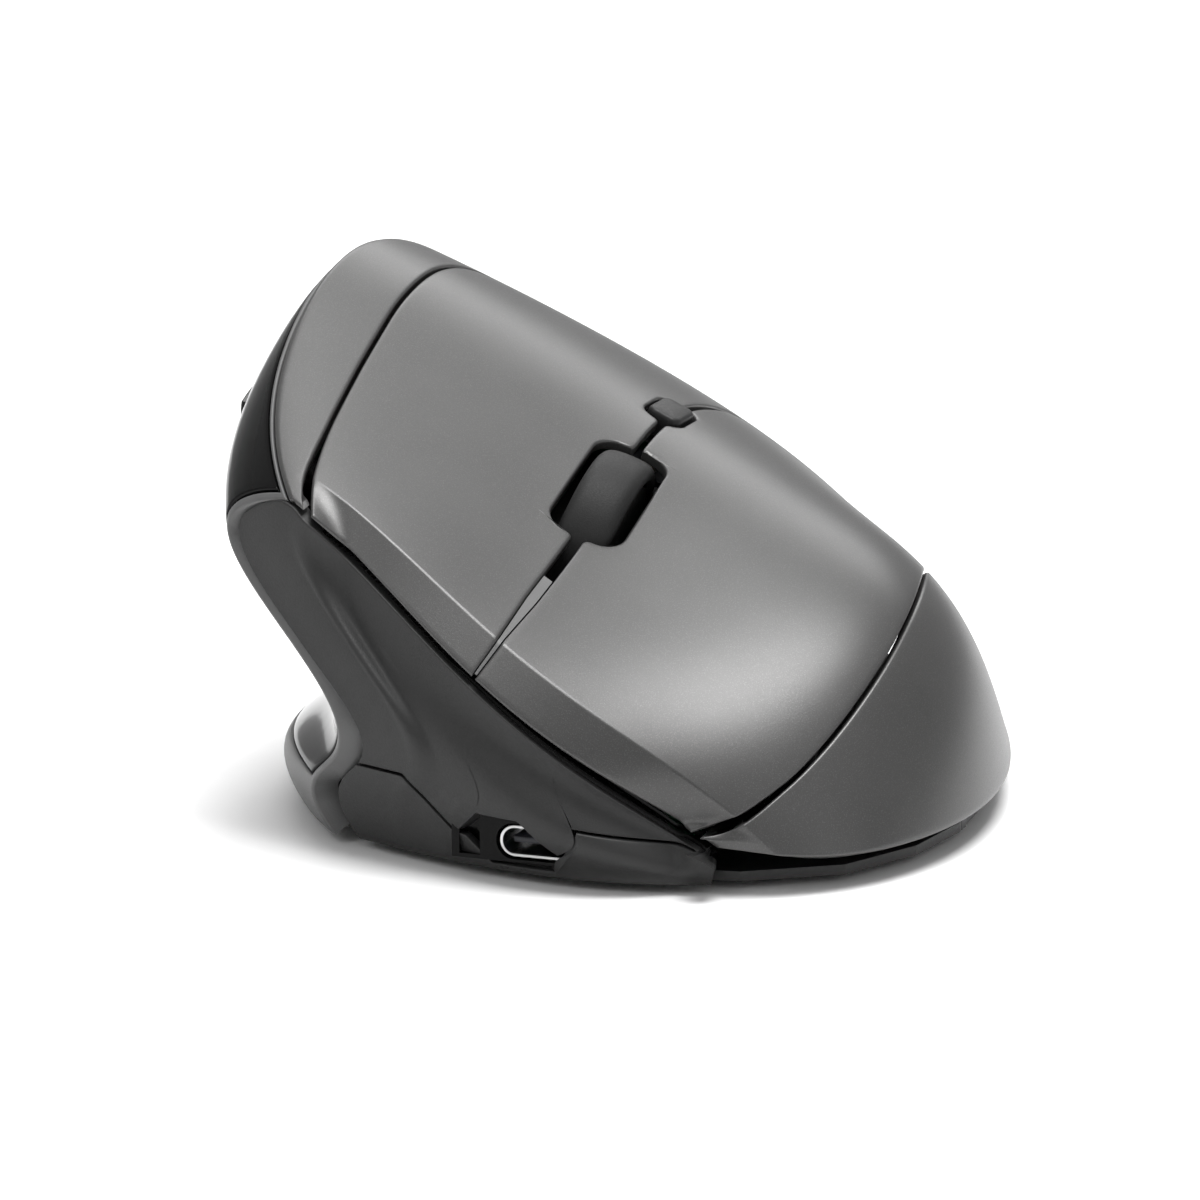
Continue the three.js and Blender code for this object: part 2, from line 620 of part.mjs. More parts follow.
// Outline of the base tray: inside the rim of the shells all round.
function floorShape(inset, height) {
  const rim = spread(0.02, 0.97, 10).map((t) => wrapPoint(1, t));
  const ledge = spread(0.97, 0.02, 10).map((t) => wrapPoint(-1, t));
  const foot = spread(0.05, 0.95, 10).map((u) => splinePoint(FRONT_FOOT, u));
  const centre = new THREE.Vector3(-3, 0, 0);
  const shrink = (point) => {
    const arm = point.clone().sub(centre).setZ(0);
    return centre.clone().addScaledVector(arm, 1 - inset / arm.length()).setZ(height);
  };
  return [...foot, ...rim, ...ledge].map(shrink).map((point) => new THREE.Vector2(point.x, point.y));
}

// Feet of the legs that carry the inner frame, and how high each reaches at most.
const POSTS = [{ x: -22.4, y: -33, top: 24 }, { x: -22.6, y: -4, top: 40 }, { x: 0, y: 4.5, top: 32 }];
const PCB_POSTS = [{ x: -16, y: -44 }, { x: 11, y: -6 }];
const SENSOR = { x: -3, y: -13 };
const POWER = { x: -13, y: -27, travel: 2.5 };
const PAIRING = { x: 8, y: -27 };
const CASE_SCREWS = [POSTS[0], POSTS[1], ...BODY_POSTS];

function baseTray() {
  const upperRing = prism(new THREE.Shape(floorShape(2.6)), FLOOR_BOTTOM, FLOOR_TOP);
  let tray = upperRing.add(baseFront);
  PCB_POSTS.forEach(({ x, y }) => {
    const post = upright(2, x, y, FLOOR_TOP - 0.5, PCB_BOTTOM - 0.1);
    tray = tray.add(post.subtract(upright(0.9, x, y, 3, 9)));
  });
  CASE_SCREWS.forEach(({ x, y }) => {
    tray = tray.add(upright(3.2, x, y, FLOOR_BOTTOM, POST_FOOT - REST_GAP));
    tray = tray.subtract(upright(2.4, x, y, 0, 2)).subtract(upright(1.25, x, y, 0, 4));
  });
  tray = tray.subtract(box(SENSOR.x - 3, SENSOR.x + 3, SENSOR.y - 4, SENSOR.y + 4, 0, 3));
  tray = tray.subtract(box(POWER.x - 3.2, POWER.x + 3.2, POWER.y - 1.7, POWER.y + 1.7, 0, 3));
  tray = tray.subtract(upright(2.2, PAIRING.x, PAIRING.y, 0, 3));
  return clearOf(tray, [bodyShell, thumbRing, thumbSkin, portBezel, frontTrim], REST_GAP);
}

// ---------------------------------------------------------------- scroll wheel

const WHEEL_Z = WHEEL_PROUD - WHEEL_RADIUS;
const CRADLE = { inside: 4, outside: 5.4, reach: 13.4, bottom: -11.6, top: -6.4 };
const CLICK_BAR_BOTTOM = -9.7; // lower face of the rear bar, above its switch
const AXLE_PLAY = 0.08;

function turned(profile, segments = 32) {
  const geometry = new THREE.LatheGeometry(profile.map(([r, h]) => new THREE.Vector2(r, h)), segments);
  geometry.rotateZ(Math.PI / 2).translate(0, 0, WHEEL_Z);
  return place(toSolid(geometry), wheelFrame);
}

const half = WHEEL_WIDTH / 2;
const tyre = turned([
  [9.2, -half + 0.5], [10.7, -half], [11.25, -half + 0.45], [WHEEL_RADIUS, -half + 1.4],
  [WHEEL_RADIUS, half - 1.4], [11.25, half - 0.45], [10.7, half], [9.2, half - 0.5], [9.2, -half + 0.5],
]);
const hub = turned([[1.15, -half], [9, -half + 0.3], [9, half - 0.3], [1.15, half], [1.15, -half]], 24);
const axle = crosswise(AXLE_RADIUS, -8.4, 8.4, WHEEL_Z, wheelFrame);

// A frame round the wheel: two arms that hold the axle, joined by a bar in front and one behind.
function wheelCradle() {
  const { inside, outside, reach, bottom, top } = CRADLE;
  const rearNotch = box(-6, 6, reach - 1.8, 15, -13, CLICK_BAR_BOTTOM, wheelFrame);
  const arms = [-1, 1].map((side) => {
    const centre = (side * (inside + outside)) / 2;
    const halfArm = (outside - inside) / 2;
    const arm = box(centre - halfArm, centre + halfArm, -reach, reach, bottom, top, wheelFrame);
    return arm.subtract(rearNotch);
  });
  const frontBar = box(-outside, outside, -reach, 1.4 - reach, bottom, -7.5, wheelFrame);
  const rearBar = box(-outside, outside, reach - 1.4, reach, CLICK_BAR_BOTTOM, -7.2, wheelFrame);
  const whole = [...arms, frontBar, rearBar].reduce((sum, piece) => sum.add(piece));
  return whole.subtract(crosswise(AXLE_RADIUS + AXLE_PLAY, -12, 12, WHEEL_Z, wheelFrame));
}

function scrollEncoder() {
  const body = box(5.7, 7.9, -4.5, 4.5, -11.6, -4.8, wheelFrame);
  return body.subtract(crosswise(AXLE_RADIUS + AXLE_PLAY, 0, 12, WHEEL_Z, wheelFrame));
}

// ---------------------------------------------------------------- boards, switches and frame

const BOARD_BOTTOM = BOARD_TOP - BOARD_THICKNESS;
const BOARD_SCREWS = [[-13.5, 9], [5.5, 20]];
const wheelWell = box(-4.6, 4.6, -11.5, 11.5, -30, 0, wheelFrame);

function buttonBoard() {
  const board = box(-16, 15, -17, 27, BOARD_BOTTOM, BOARD_TOP, wheelFrame);
  const holes = BOARD_SCREWS.map(([x, y]) => upright(1.1, x, y, -20, 0, wheelFrame));
  return holes.reduce((sum, hole) => sum.subtract(hole), board.subtract(wheelWell));
}

// The carrier plate under the button board, on legs down to the base.
function innerFrame() {
  const top = BOARD_BOTTOM - REST_GAP;
  const plate = box(-17, 12.5, -16, 26, top - 1.6, top, wheelFrame).subtract(wheelWell);
  const pilot = BOARD_SCREWS.map(([x, y]) => upright(0.95, x, y, -20, 0, wheelFrame));
  const carrier = pilot.reduce((sum, hole) => sum.subtract(hole), plate);
  const above = box(-40, 40, -60, 60, BOARD_BOTTOM - 1, 20, wheelFrame);
  return POSTS.reduce((frame, { x, y, top: legTop }) => {
    const leg = upright(2.3, x, y, POST_FOOT, legTop).subtract(above);
    return frame.add(leg.subtract(upright(SCREW_BORE, x, y, 0, 9)));
  }, carrier);
}

// A push switch: a case with a well, and a plunger that sinks into it.
function pushSwitch(name, frame, size, at, plungerAt, tip) {
  const [x, y, z] = at;
  const [halfWidth, halfLength] = [size[0] / 2, size[1] / 2];
  const top = z + size[2];
  const body = box(x - halfWidth, x + halfWidth, y - halfLength, y + halfLength, z, top, frame);
  const [px, py] = plungerAt;
  const square = (half, z0, z1) => box(px - half, px + half, py - half, py + half, z0, z1, frame);
  addPiece(`${name}_switch`, body.subtract(square(0.9, top - 1.4, top + 1)), MATERIALS.switchBody);
  addPiece(`${name}_plunger`, square(0.8, top - 0.8, top + tip), MATERIALS.plunger);
}

// ---------------------------------------------------------------- assembly

addPiece("body_shell", bodyShell, MATERIALS.satin);
addPiece("palm_cover", palmCover, MATERIALS.satin);
addPiece("upper_key", upperKey, MATERIALS.satin);
addPiece("lower_key", lowerKey, MATERIALS.satin);
addPiece("front_panel", frontUpper, MATERIALS.matte);
addPiece("front_trim", clearOf(frontTrim, [bodyShell, thumbRing, ...keyPieces], 0.2), MATERIALS.gloss);
addPiece("base_tray", baseTray(), MATERIALS.matte);
addPiece("port_bezel", clearOf(portBezel, [bodyShell], 0.1), MATERIALS.gloss);
addPiece("thumb_frame", clearOf(thumbRing, [bodyShell], 0.2), MATERIALS.rim);
addPiece("thumb_panel", largest(thumbSkin.subtract(buttonWindow)), MATERIALS.gloss);
addPiece("forward_button", forwardButton, MATERIALS.gloss);
addPiece("back_button", backButton, MATERIALS.gloss);

// A thin rib below the split between the keys, clear of their travel.
const SLIT_RIB = { halfWidth: acrossGap(1.9), top: WALL + 0.9, bottom: WALL + 2.1 };
const belowPalm = {
  at: wrapPoint,
  outward: (w, t) => wrapNormal(w, t).multiplyScalar(-SLIT_RIB.top),
  inward: (w, t, depth) => wrapNormal(w, t).multiplyScalar(-depth),
};
const slitColumns = between(() => SLIT - SLIT_RIB.halfWidth, () => SLIT + SLIT_RIB.halfWidth, 2);
const slitRib = panel(belowPalm, slitColumns, spread(0.06, WHEEL_T - 0.085, 5), { depth: SLIT_RIB.bottom });
addPiece("slit_trim", slitRib, MATERIALS.rim);

const DPI_PLAY = 1; // between the small button and its hole, both sides together
const dpiShape = roundedShape(DPI_HOLE.width - DPI_PLAY, DPI_HOLE.length - DPI_PLAY, DPI_HOLE.corner - 0.4);
const dpiCap = prism(dpiShape, -2.2, 0.5, dpiFrame);
const dpiStem = box(-1, 1, -1, 1, -5.6, -2, dpiFrame);
addPiece("dpi_button", dpiCap.add(dpiStem), MATERIALS.black);

addPiece("scroll_tyre", tyre, MATERIALS.rubber);
addPiece("scroll_hub", hub, MATERIALS.black);
addPiece("scroll_axle", axle, MATERIALS.steel);
addPiece("wheel_cradle", wheelCradle(), MATERIALS.black);
addPiece("scroll_encoder", scrollEncoder(), MATERIALS.switchBody);
addPiece("button_board", buttonBoard(), MATERIALS.board);
addPiece("inner_frame", innerFrame(), MATERIALS.black);

const MICRO = [5.8, 12.8, 6.5];
const TACT = [4.5, 4.5, 2];
const boardRest = BOARD_TOP + 0.1;
[["upper_key", -1], ["lower_key", 1]].forEach(([name, side]) => {
  const x = side * SWITCH_SPOT.across;
  pushSwitch(name, wheelFrame, MICRO, [x, SWITCH_SPOT.along, boardRest], [x, SWITCH_SPOT.plunger], 1);
});
pushSwitch("wheel_click", wheelFrame, [4.5, 3, 1.7], [0, 13.3, boardRest], [0, 12.9], 0.4);
pushSwitch("dpi", wheelFrame, [4.5, 4.5, 3.6], [0.2, 18.3, boardRest], [0.2, 18.3], 0.6);

const THUMB_BOARD = { top: -7.3, thickness: 1.2 };
const thumbBoardHole = upright(1.1, -1, -16.8, -20, 0, thumbFrame);
const thumbBoardBottom = THUMB_BOARD.top - THUMB_BOARD.thickness;
const thumbBoard = box(-5, 3, -18.5, 18.5, thumbBoardBottom, THUMB_BOARD.top, thumbFrame);
addPiece("thumb_board", thumbBoard.subtract(thumbBoardHole), MATERIALS.board);
pushSwitch("forward", thumbFrame, TACT, [0, -BUTTON_STEM, THUMB_BOARD.top + 0.1], [0, -BUTTON_STEM], 0.5);
pushSwitch("back", thumbFrame, TACT, [0, BUTTON_STEM, THUMB_BOARD.top + 0.1], [0, BUTTON_STEM], 0.5);

const pcbHoles = PCB_POSTS.map(({ x, y }) => upright(1.1, x, y, 0, 20));
const mainBoard = prism(roundedShape(33, 46, 1.5, -2.5, -25), PCB_BOTTOM, PCB_TOP);
addPiece("main_board", pcbHoles.reduce((sum, hole) => sum.subtract(hole), mainBoard), MATERIALS.board);
addPiece("controller_chip", box(-9.5, -2.5, -41, -34, PCB_TOP + 0.1, PCB_TOP + 1.1), MATERIALS.switchBody);
const sensorChip = box(SENSOR.x - 4, SENSOR.x + 4, SENSOR.y - 5, SENSOR.y + 5, 4, PCB_BOTTOM - 0.1);
addPiece("sensor_chip", sensorChip, MATERIALS.switchBody);
const lensFoot = box(SENSOR.x - 2.7, SENSOR.x + 2.7, SENSOR.y - 3.7, SENSOR.y + 3.7, 1.1, 2.3);
const lensDome = upright(2.2, SENSOR.x, SENSOR.y, 2.2, 3.7);
addPiece("sensor_lens", lensFoot.add(lensDome), MATERIALS.lens);

const powerSwitch = box(POWER.x - 4.5, POWER.x + 4.5, POWER.y - 2.2, POWER.y + 2.2, 3, PCB_BOTTOM - 0.1);
addPiece("power_switch", powerSwitch, MATERIALS.switchBody);
const knobAt = POWER.x - POWER.travel / 2; // the switch is off at rest
const powerKnob = box(knobAt - 1.5, knobAt + 1.5, POWER.y - 1.4, POWER.y + 1.4, 1, 2.7);
addPiece("power_knob", powerKnob, MATERIALS.black);
addPiece("pairing_button", upright(1.9, PAIRING.x, PAIRING.y, 1, 2.9), MATERIALS.black);
const underBoard = new THREE.Matrix4().makeRotationX(Math.PI);
underBoard.setPosition(PAIRING.x, PAIRING.y, PCB_BOTTOM - 0.1);
pushSwitch("pairing", underBoard, TACT, [0, 0, 0], [0, 0], 0.7);

const portShape = roundedShape(PORT.width, PORT.height, PORT.height / 2 - 0.02, PORT.x, PORT.z);
const portInside = roundedShape(PORT.width - 0.7, PORT.height - 0.7, PORT.height / 2 - 0.4, PORT.x, PORT.z);
const portBack = PORT.y + PORT.depth;
const portMouth = frontPrism(portInside, PORT.y - 1, portBack - 0.6);
addPiece("usb_port_shell", frontPrism(portShape, PORT.y, portBack).subtract(portMouth), MATERIALS.steel);
const [tongueFront, tongueBack] = [PORT.y + 0.7, portBack - 0.7];
const portTongue = box(PORT.x - 3.3, PORT.x + 3.3, tongueFront, tongueBack, PORT.z - 0.35, PORT.z + 0.35);
addPiece("usb_port_tongue", portTongue, MATERIALS.black);

addPiece("battery", prism(roundedShape(26, 27, 2, -9, 22.5), FLOOR_TOP + REST_GAP, 8.2), MATERIALS.foil);

function strip(points, width, thickness) {
  const curve = new THREE.CatmullRomCurve3(points.map((point) => new THREE.Vector3(...point)));
  const corners = [[-1, -1], [1, -1], [1, 1], [-1, 1]];
  const section = new THREE.Shape(
    corners.map(([side, face]) => new THREE.Vector2((side * width) / 2, (face * thickness) / 2)),
  );
  return toSolid(new THREE.ExtrudeGeometry(section, { steps: 12, bevelEnabled: false, extrudePath: curve }));
}

const ribbonRoute = [[8.5, -10, 7.8], [8.8, -10, 10], [8.2, -10, 15], [6.2, -10, 19.6]];
addPiece("ribbon_cable", strip(ribbonRoute, 6, 0.5), MATERIALS.cable);
const leadRoute = [[-8, 8.6, 6.5], [-8, 5, 8.4], [-8, 1, 9], [-8, -4, 8]];
addPiece("battery_lead", strip(leadRoute, 1.6, 0.9), MATERIALS.cable);

// A slotted screw: its head lies between two heights, and its shank runs on to the tip.
function screw(name, x, y, headBottom, headTop, tip, frame) {
  const heights = [headBottom, headTop];
  const head = upright(1.9, x, y, Math.min(...heights), Math.max(...heights), frame, 10);
  heights.push(tip);
  const shank = upright(0.85, x, y, Math.min(...heights), Math.max(...heights), frame, 8);
  const slot = box(x - 1.2, x + 1.2, y - 0.2, y + 0.2, headTop - 0.4, headTop + 0.4, frame);
  addPiece(name, head.add(shank).subtract(slot), MATERIALS.steel);
}

CASE_SCREWS.forEach(({ x, y }, index) => screw(`case_screw_${index + 1}`, x, y, 1.9, 1, 8));
PCB_POSTS.forEach(({ x, y }, index) => {
  screw(`main_board_screw_${index + 1}`, x, y, PCB_TOP + 0.1, PCB_TOP + 1.2, 3.6);
});
BOARD_SCREWS.forEach(([x, y], index) => {
  const name = `button_board_screw_${index + 1}`;
  screw(name, x, y, BOARD_TOP + 0.1, BOARD_TOP + 1.2, BOARD_BOTTOM - 1.7, wheelFrame);
});
screw("thumb_board_screw", -1, -16.8, THUMB_BOARD.top - 1.3, THUMB_BOARD.top - 2.4, -4.5, thumbFrame);

function skate(name, width, length, x, y) {
  const shape = roundedShape(width, length, Math.min(width, length) / 2 - 0.1, x, y);
  addPiece(name, prism(shape, 0, SKATE_THICKNESS), MATERIALS.skate);
}
skate("front_skate", 22, 6, 2, -44);
skate("rear_skate", 20, 6, -5, 40);
skate("thumb_skate", 6, 16, -33, -4);

export default product;
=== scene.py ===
"""A left-handed semi-vertical computer mouse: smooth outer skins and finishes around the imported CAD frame."""

import json
import math

import bmesh
import bpy
import numpy as np
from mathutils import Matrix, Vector


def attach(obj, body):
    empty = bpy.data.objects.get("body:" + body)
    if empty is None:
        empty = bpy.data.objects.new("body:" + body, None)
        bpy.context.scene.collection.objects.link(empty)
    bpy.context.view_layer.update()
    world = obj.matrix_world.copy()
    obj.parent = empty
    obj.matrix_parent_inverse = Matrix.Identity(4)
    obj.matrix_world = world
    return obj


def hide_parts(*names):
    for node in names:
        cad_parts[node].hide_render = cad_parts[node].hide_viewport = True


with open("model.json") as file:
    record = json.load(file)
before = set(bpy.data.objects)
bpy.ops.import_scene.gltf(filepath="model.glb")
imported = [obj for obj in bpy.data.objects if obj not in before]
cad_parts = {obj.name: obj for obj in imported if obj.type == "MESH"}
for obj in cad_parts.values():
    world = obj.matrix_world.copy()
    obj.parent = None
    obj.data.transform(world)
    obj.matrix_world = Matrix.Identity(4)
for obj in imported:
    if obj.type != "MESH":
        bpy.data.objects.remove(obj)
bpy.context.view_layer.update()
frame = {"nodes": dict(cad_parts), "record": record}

# ------------------------------------------------------------------ driving dimensions, in millimetres

MM = 0.001
ORIGIN = np.array([4.95, 0.55, 0.0])  # moves the bottom centre of the mouse to the row's origin
WALL = 1.8
EDGE = 0.3  # rounding of moulded edges
FINE_EDGE = 0.14  # rounding beside the fine seams of the front wall
GAP = 0.2  # half of a seam between two mouldings
CHAMFER_T = 0.045
CHAMFER_SETBACK = 3.0
KEY_FRONT_GAP = 1.7
KEY_WALL = 1.1
CORNER_EASE = 0.9  # extra gap at a key's outer front corner, so that it clears the body as it tips
HINGE_T = 0.61
COVER_END_T = 0.87
THUMB_END_T = 0.8
BAND_TOP = -0.012
STRIP_END = -0.17
SLIT = 0.367
WHEEL_T = 0.256
WHEEL_RADIUS = 11.5
WHEEL_WIDTH = 5.8
WHEEL_PROUD = 2.6
SLOT = (8.2, 17.6, 2.6)  # width, length, corner radius of the wheel's opening
DPI_ACROSS = 0.362
DPI_T = 0.427
DPI_HOLE = (4.8, 6.3, 1.5)
BUTTON_PROUD = 0.7
PORT = {"x": -0.9, "y": -53.2, "z": 4.1, "width": 8.94, "height": 3.26, "depth": 7.3}

HALF_HINGE_GAP = 0.002  # half of the seam behind the keys, as a share of the length
HALF_END_GAP = 0.0015  # the same for the seams behind the palm cover and the thumb side
# Rough millimetres for each unit of a surface parameter, for distances to borders and fine grid lines.
PALM_SCALE = 72  # across the palm
BODY_SCALE = 70  # across the body shell
THUMB_SCALE = 62  # across the thumb side
ALONG_SCALE = 105  # from front to rear
ROW_SCALE = 110  # from front to rear, for the spacing of the palm's rows
FACE_SCALE = 47  # across the front wall
PANEL_SCALE = 20  # down the front panel
BASE_SCALE = 12  # down the base's front

# ------------------------------------------------------------------ rails of the outer surface

CREST_RAIL = [
    (-28.5, -50, 36.2), (-34.5, -43, 41), (-39.5, -26, 50.5), (-39.5, -6, 59.5),
    (-34, 12, 52.5), (-26, 34, 36), (-14, 56, 15), (-4, 56, 5),
]
PALM_RAILS = [
    CREST_RAIL,
    [(-22, -53, 33.5), (-24, -46, 38.5), (-27, -28, 45.5), (-27.5, -7, 54),
     (-23, 13, 48.5), (-16, 36, 33), (-9, 56, 15), (-4, 56, 5)],
    [(-6.7, -59.5, 21.5), (-6, -50, 25), (-5, -30, 29.5), (-5, -8, 40.5),
     (-2, 14, 38.5), (-1, 38, 26), (-2, 56, 13.5), (-4, 56, 5)],
    [(8, -58.5, 12), (12, -52, 15.5), (17, -33, 24.5), (18, -11, 34),
     (14, 11, 26), (9, 36, 18), (4, 56, 11), (-4, 56, 5)],
    [(14, -54.5, 8), (21, -51, 7.5), (32, -36, 20), (36, -14, 25),
     (26, 8, 13.5), (18, 36, 11), (7, 56, 8), (-4, 56, 5)],
    [(16.8, -52, 5), (26, -50, 3.5), (35.5, -37, 3.5), (37, -14, 3.5),
     (31, 9, 3.5), (20, 36, 3.5), (8, 56, 4), (-4, 56, 5)],
]
THUMB_RAILS = [
    CREST_RAIL,
    [(-32.5, -48.5, 36), (-38.5, -40, 42), (-43, -25, 50), (-43.5, -5, 55),
     (-39, 15, 49), (-31, 36, 33), (-15, 56, 13), (-4, 56, 5)],
    [(-39.5, -46, 34), (-45, -37, 39), (-47.5, -20, 42), (-48, 0, 43),
     (-42, 18, 37), (-33, 37, 27), (-15, 56, 11), (-4, 56, 5)],
    [(-35.5, -47.5, 27), (-40, -38, 29), (-41, -20, 31), (-41, 0, 31),
     (-39, 18, 27), (-32, 38, 19), (-15, 56, 10), (-4, 56, 5)],
    [(-23.5, -52.5, 17), (-29, -40, 18), (-31, -20, 18), (-32, 0, 19),
     (-34, 18, 17), (-31, 38, 12), (-14, 56, 8), (-4, 56, 5)],
    [(-21.5, -53, 10), (-29, -40, 10.5), (-35, -22, 10), (-38, 0, 10),
     (-37, 20, 10), (-30, 40, 8), (-13, 56, 6), (-4, 56, 5)],
    [(-30.5, -47, 6.5), (-38, -39, 7), (-47, -22, 6), (-46.5, 0, 5.5),
     (-40, 22, 5), (-30, 42, 4.5), (-13, 56, 5), (-4, 56, 5)],
    [(-26, -47, 1), (-34, -39, 1.5), (-41, -22, 2), (-42, 0, 2.5),
     (-37, 22, 3), (-28, 42, 3.5), (-12, 56, 4), (-4, 56, 5)],
]
FRONT_FOOT = [(-23, -48, 1), (-15, -51.5, 1), (-4, -54.5, 1), (8, -55, 1), (16, -51, 1)]
# Seams of the palm: (along, across) pairs.
LEFT_SEAM = [(0, 0.02), (0.08, 0.058), (0.15, 0.07), (0.25, 0.075), (0.37, 0.07), (0.5, 0.055),
             (0.7, 0.06), (1, 0.12)]
RIGHT_SEAM = [(0, 0.955), (0.06, 0.89), (0.11, 0.87), (0.18, 0.85), (0.31, 0.816), (0.4, 0.795),
              (0.6, 0.77), (1, 0.75)]
# Lower edge of the front panel and upper edge of the base, as heights against X.
PANEL_EDGE = [(-30, 10.35), (-15.7, 9.95), (-10.3, 4.75), (-9.3, 4.65), (-9.15, 7.1), (-2.2, 7.1), (0.4, 4.5),
              (2.2, 3.0), (3.05, 2.9), (3.15, 6.9), (18, 4.1)]
BASE_EDGE = [(-30, 10.1), (-15.7, 9.7), (-10.3, 4.5), (-8.9, 4.35), (-6.2, 1.7), (3.3, 1.7),
             (3.4, 6.6), (18, 3.9)]

# ------------------------------------------------------------------ spline surfaces


def spline_weights(count, values):
    """Weights of a clamped cubic B-spline with that many control points, one row for each value."""
    knots = np.concatenate([np.zeros(3), np.linspace(0, 1, count - 2), np.ones(3)])
    u = np.clip(np.asarray(values, float).ravel(), 0, 1 - 1e-9)
    table = np.array([(u >= knots[i]) & (u < knots[i + 1]) for i in range(len(knots) - 1)], float)
    for degree in (1, 2, 3):
        following = np.zeros((len(knots) - 1 - degree, len(u)))
        for i in range(len(following)):
            rise = knots[i + degree] - knots[i]
            fall = knots[i + degree + 1] - knots[i + 1]
            if rise > 0:
                following[i] += (u - knots[i]) / rise * table[i]
            if fall > 0:
                following[i] += (knots[i + degree + 1] - u) / fall * table[i + 1]
        table = following
    return table.T


def net_points(rails, across, along):
    rails = np.array(rails, float)
    weights = spline_weights(rails.shape[0], across), spline_weights(rails.shape[1], along)
    return np.einsum("mi,mj,ijk->mk", *weights, rails).reshape(*np.shape(across), 3)


def smoothstep(x, low, high):
    share = np.clip((np.asarray(x, float) - low) / (high - low), 0, 1)
    return share * share * (3 - 2 * share)


def table_value(pairs, x):
    places, heights = zip(*pairs)
    return np.interp(x, places, heights)


def smooth_table(pairs, x):
    """Straight segments rounded off by averaging over a short stretch."""
    return sum(table_value(pairs, np.asarray(x) + shift) for shift in (-0.03, -0.015, 0, 0.015, 0.03)) / 5


def left_seam(t):
    return smooth_table(LEFT_SEAM, t)


def right_seam(t):
    return smooth_table(RIGHT_SEAM, t)


def raw_wrap(w, t):
    w, t = np.broadcast_arrays(np.asarray(w, float), np.asarray(t, float))
    palm = net_points(PALM_RAILS, np.clip(w, 0, 1), t)
    thumb = net_points(THUMB_RAILS, np.clip(-w, 0, 1), t)
    return np.where((w < 0)[..., None], thumb, palm)


def front_edge(w):
    strength = smoothstep(w, 0.02, 0.12) * (1 - smoothstep(w, 0.88, 0.97))
    lean = np.array([-0.33, 0.92, -0.21]) * CHAMFER_SETBACK
    return raw_wrap(w, np.zeros_like(w)) + strength[..., None] * lean


def wrap(w, t):
    """The hand surface: w from -1 at the thumb ledge over the crest at 0 to 1 at the right rim."""
    w, t = np.broadcast_arrays(np.asarray(w, float), np.asarray(t, float))
    plain = raw_wrap(w, t)
    share = np.clip(t / CHAMFER_T, 0, 1)[..., None]
    chamfer = front_edge(w) * (1 - share) + raw_wrap(w, np.full_like(w, CHAMFER_T)) * share
    return np.where(((t < CHAMFER_T) & (w > 0))[..., None], chamfer, plain)


def unit(vectors):
    return vectors / np.maximum(np.linalg.norm(vectors, axis=-1, keepdims=True), 1e-9)


def derivatives(surface, a, b, step=0.004):
    low = -1 if surface is wrap else 0
    across = surface(np.minimum(a + step, 1), b) - surface(np.maximum(a - step, low), b)
    along = surface(a, np.minimum(b + step, 1)) - surface(a, np.maximum(b - step, 0))
    return across, along


def scale_across(surface, a, b):
    """Millimetres for each unit of the first parameter."""
    a, b = np.broadcast_arrays(np.asarray(a, float), np.asarray(b, float))
    return np.linalg.norm(surface(a + 0.004, b) - surface(a - 0.004, b), axis=-1) / 0.008


def scale_along(surface, a, b):
    a, b = np.broadcast_arrays(np.asarray(a, float), np.asarray(b, float))
    return np.linalg.norm(derivatives(surface, a, b)[1], axis=-1) / 0.008


def wrap_normal(w, t):
    across, along = derivatives(wrap, w, t)
    normal = unit(np.cross(across, along))
    normal[t > 0.995] = (0, 1, 0)
    return normal


def wrap_inward(w, t, depth):
    """From a point of the hand surface to the inner face of its wall: thinner at the crest's front corner."""
    normal = wrap_normal(np.where(w > 0, np.maximum(w, 0.06), w), t)
    ahead = 1 - smoothstep(t, 0.03, 0.14)
    beside = 1 - smoothstep(np.abs(w), 0.04, 0.12)
    depth = depth * (1 - 0.6 * ahead * beside)
    level = np.zeros_like(normal)
    level[..., 1] = depth / np.maximum(np.abs(normal[..., 1]), 0.5)
    share = np.where(w > 0, smoothstep(t, 0, 0.03), 1)[..., None]
    return level * (1 - share) - normal * depth[..., None] * share


def front_top(u):
    w = STRIP_END + (1 - STRIP_END) * u
    drop = 0.5 + (KEY_FRONT_GAP - 0.5) * smoothstep(w, -0.035, 0.03)
    point = np.where((w < 0)[..., None], raw_wrap(w, np.zeros_like(w)), front_edge(w))
    inset = smoothstep(-w, 0, -STRIP_END) * 1.3
    return point + np.stack([inset, 0 * drop, -drop], -1)


def front_left(v):
    w = STRIP_END + (-1 - STRIP_END) * v
    rim = 1.3 + 1.7 * smoothstep(v, 0.4, 0.8)
    return raw_wrap(w, np.zeros_like(w)) + np.stack([rim, -0.2 + 0 * rim, 0 * rim], -1)


def foot_line(u):
    return spline_weights(len(FRONT_FOOT), u).dot(np.array(FRONT_FOOT, float)).reshape(*np.shape(u), 3)


def front(u, v):
    """The front wall, a Coons patch: u from the thumb rim to the right, v from the keys down to the foot."""
    u, v = np.broadcast_arrays(np.asarray(u, float), np.asarray(v, float))
    zero, one = np.zeros_like(u), np.ones_like(u)
    a, b = u[..., None], v[..., None]
    rows = front_top(u) * (1 - b) + foot_line(u) * b
    right = front_top(one) * (1 - b) + foot_line(one) * b
    columns = front_left(v) * (1 - a) + right * a
    corners = (front_top(zero) * (1 - a) + front_top(one) * a) * (1 - b)
    corners += (foot_line(zero) * (1 - a) + foot_line(one) * a) * b
    return rows + columns - corners


def face(v, u):
    """The front wall with its parameters in the order that skins use."""
    return front(u, v)


def face_normal(v, u):
    down, across = derivatives(face, v, u)
    normal = np.cross(down, across)
    normal[..., 2] = 0
    return unit(normal)


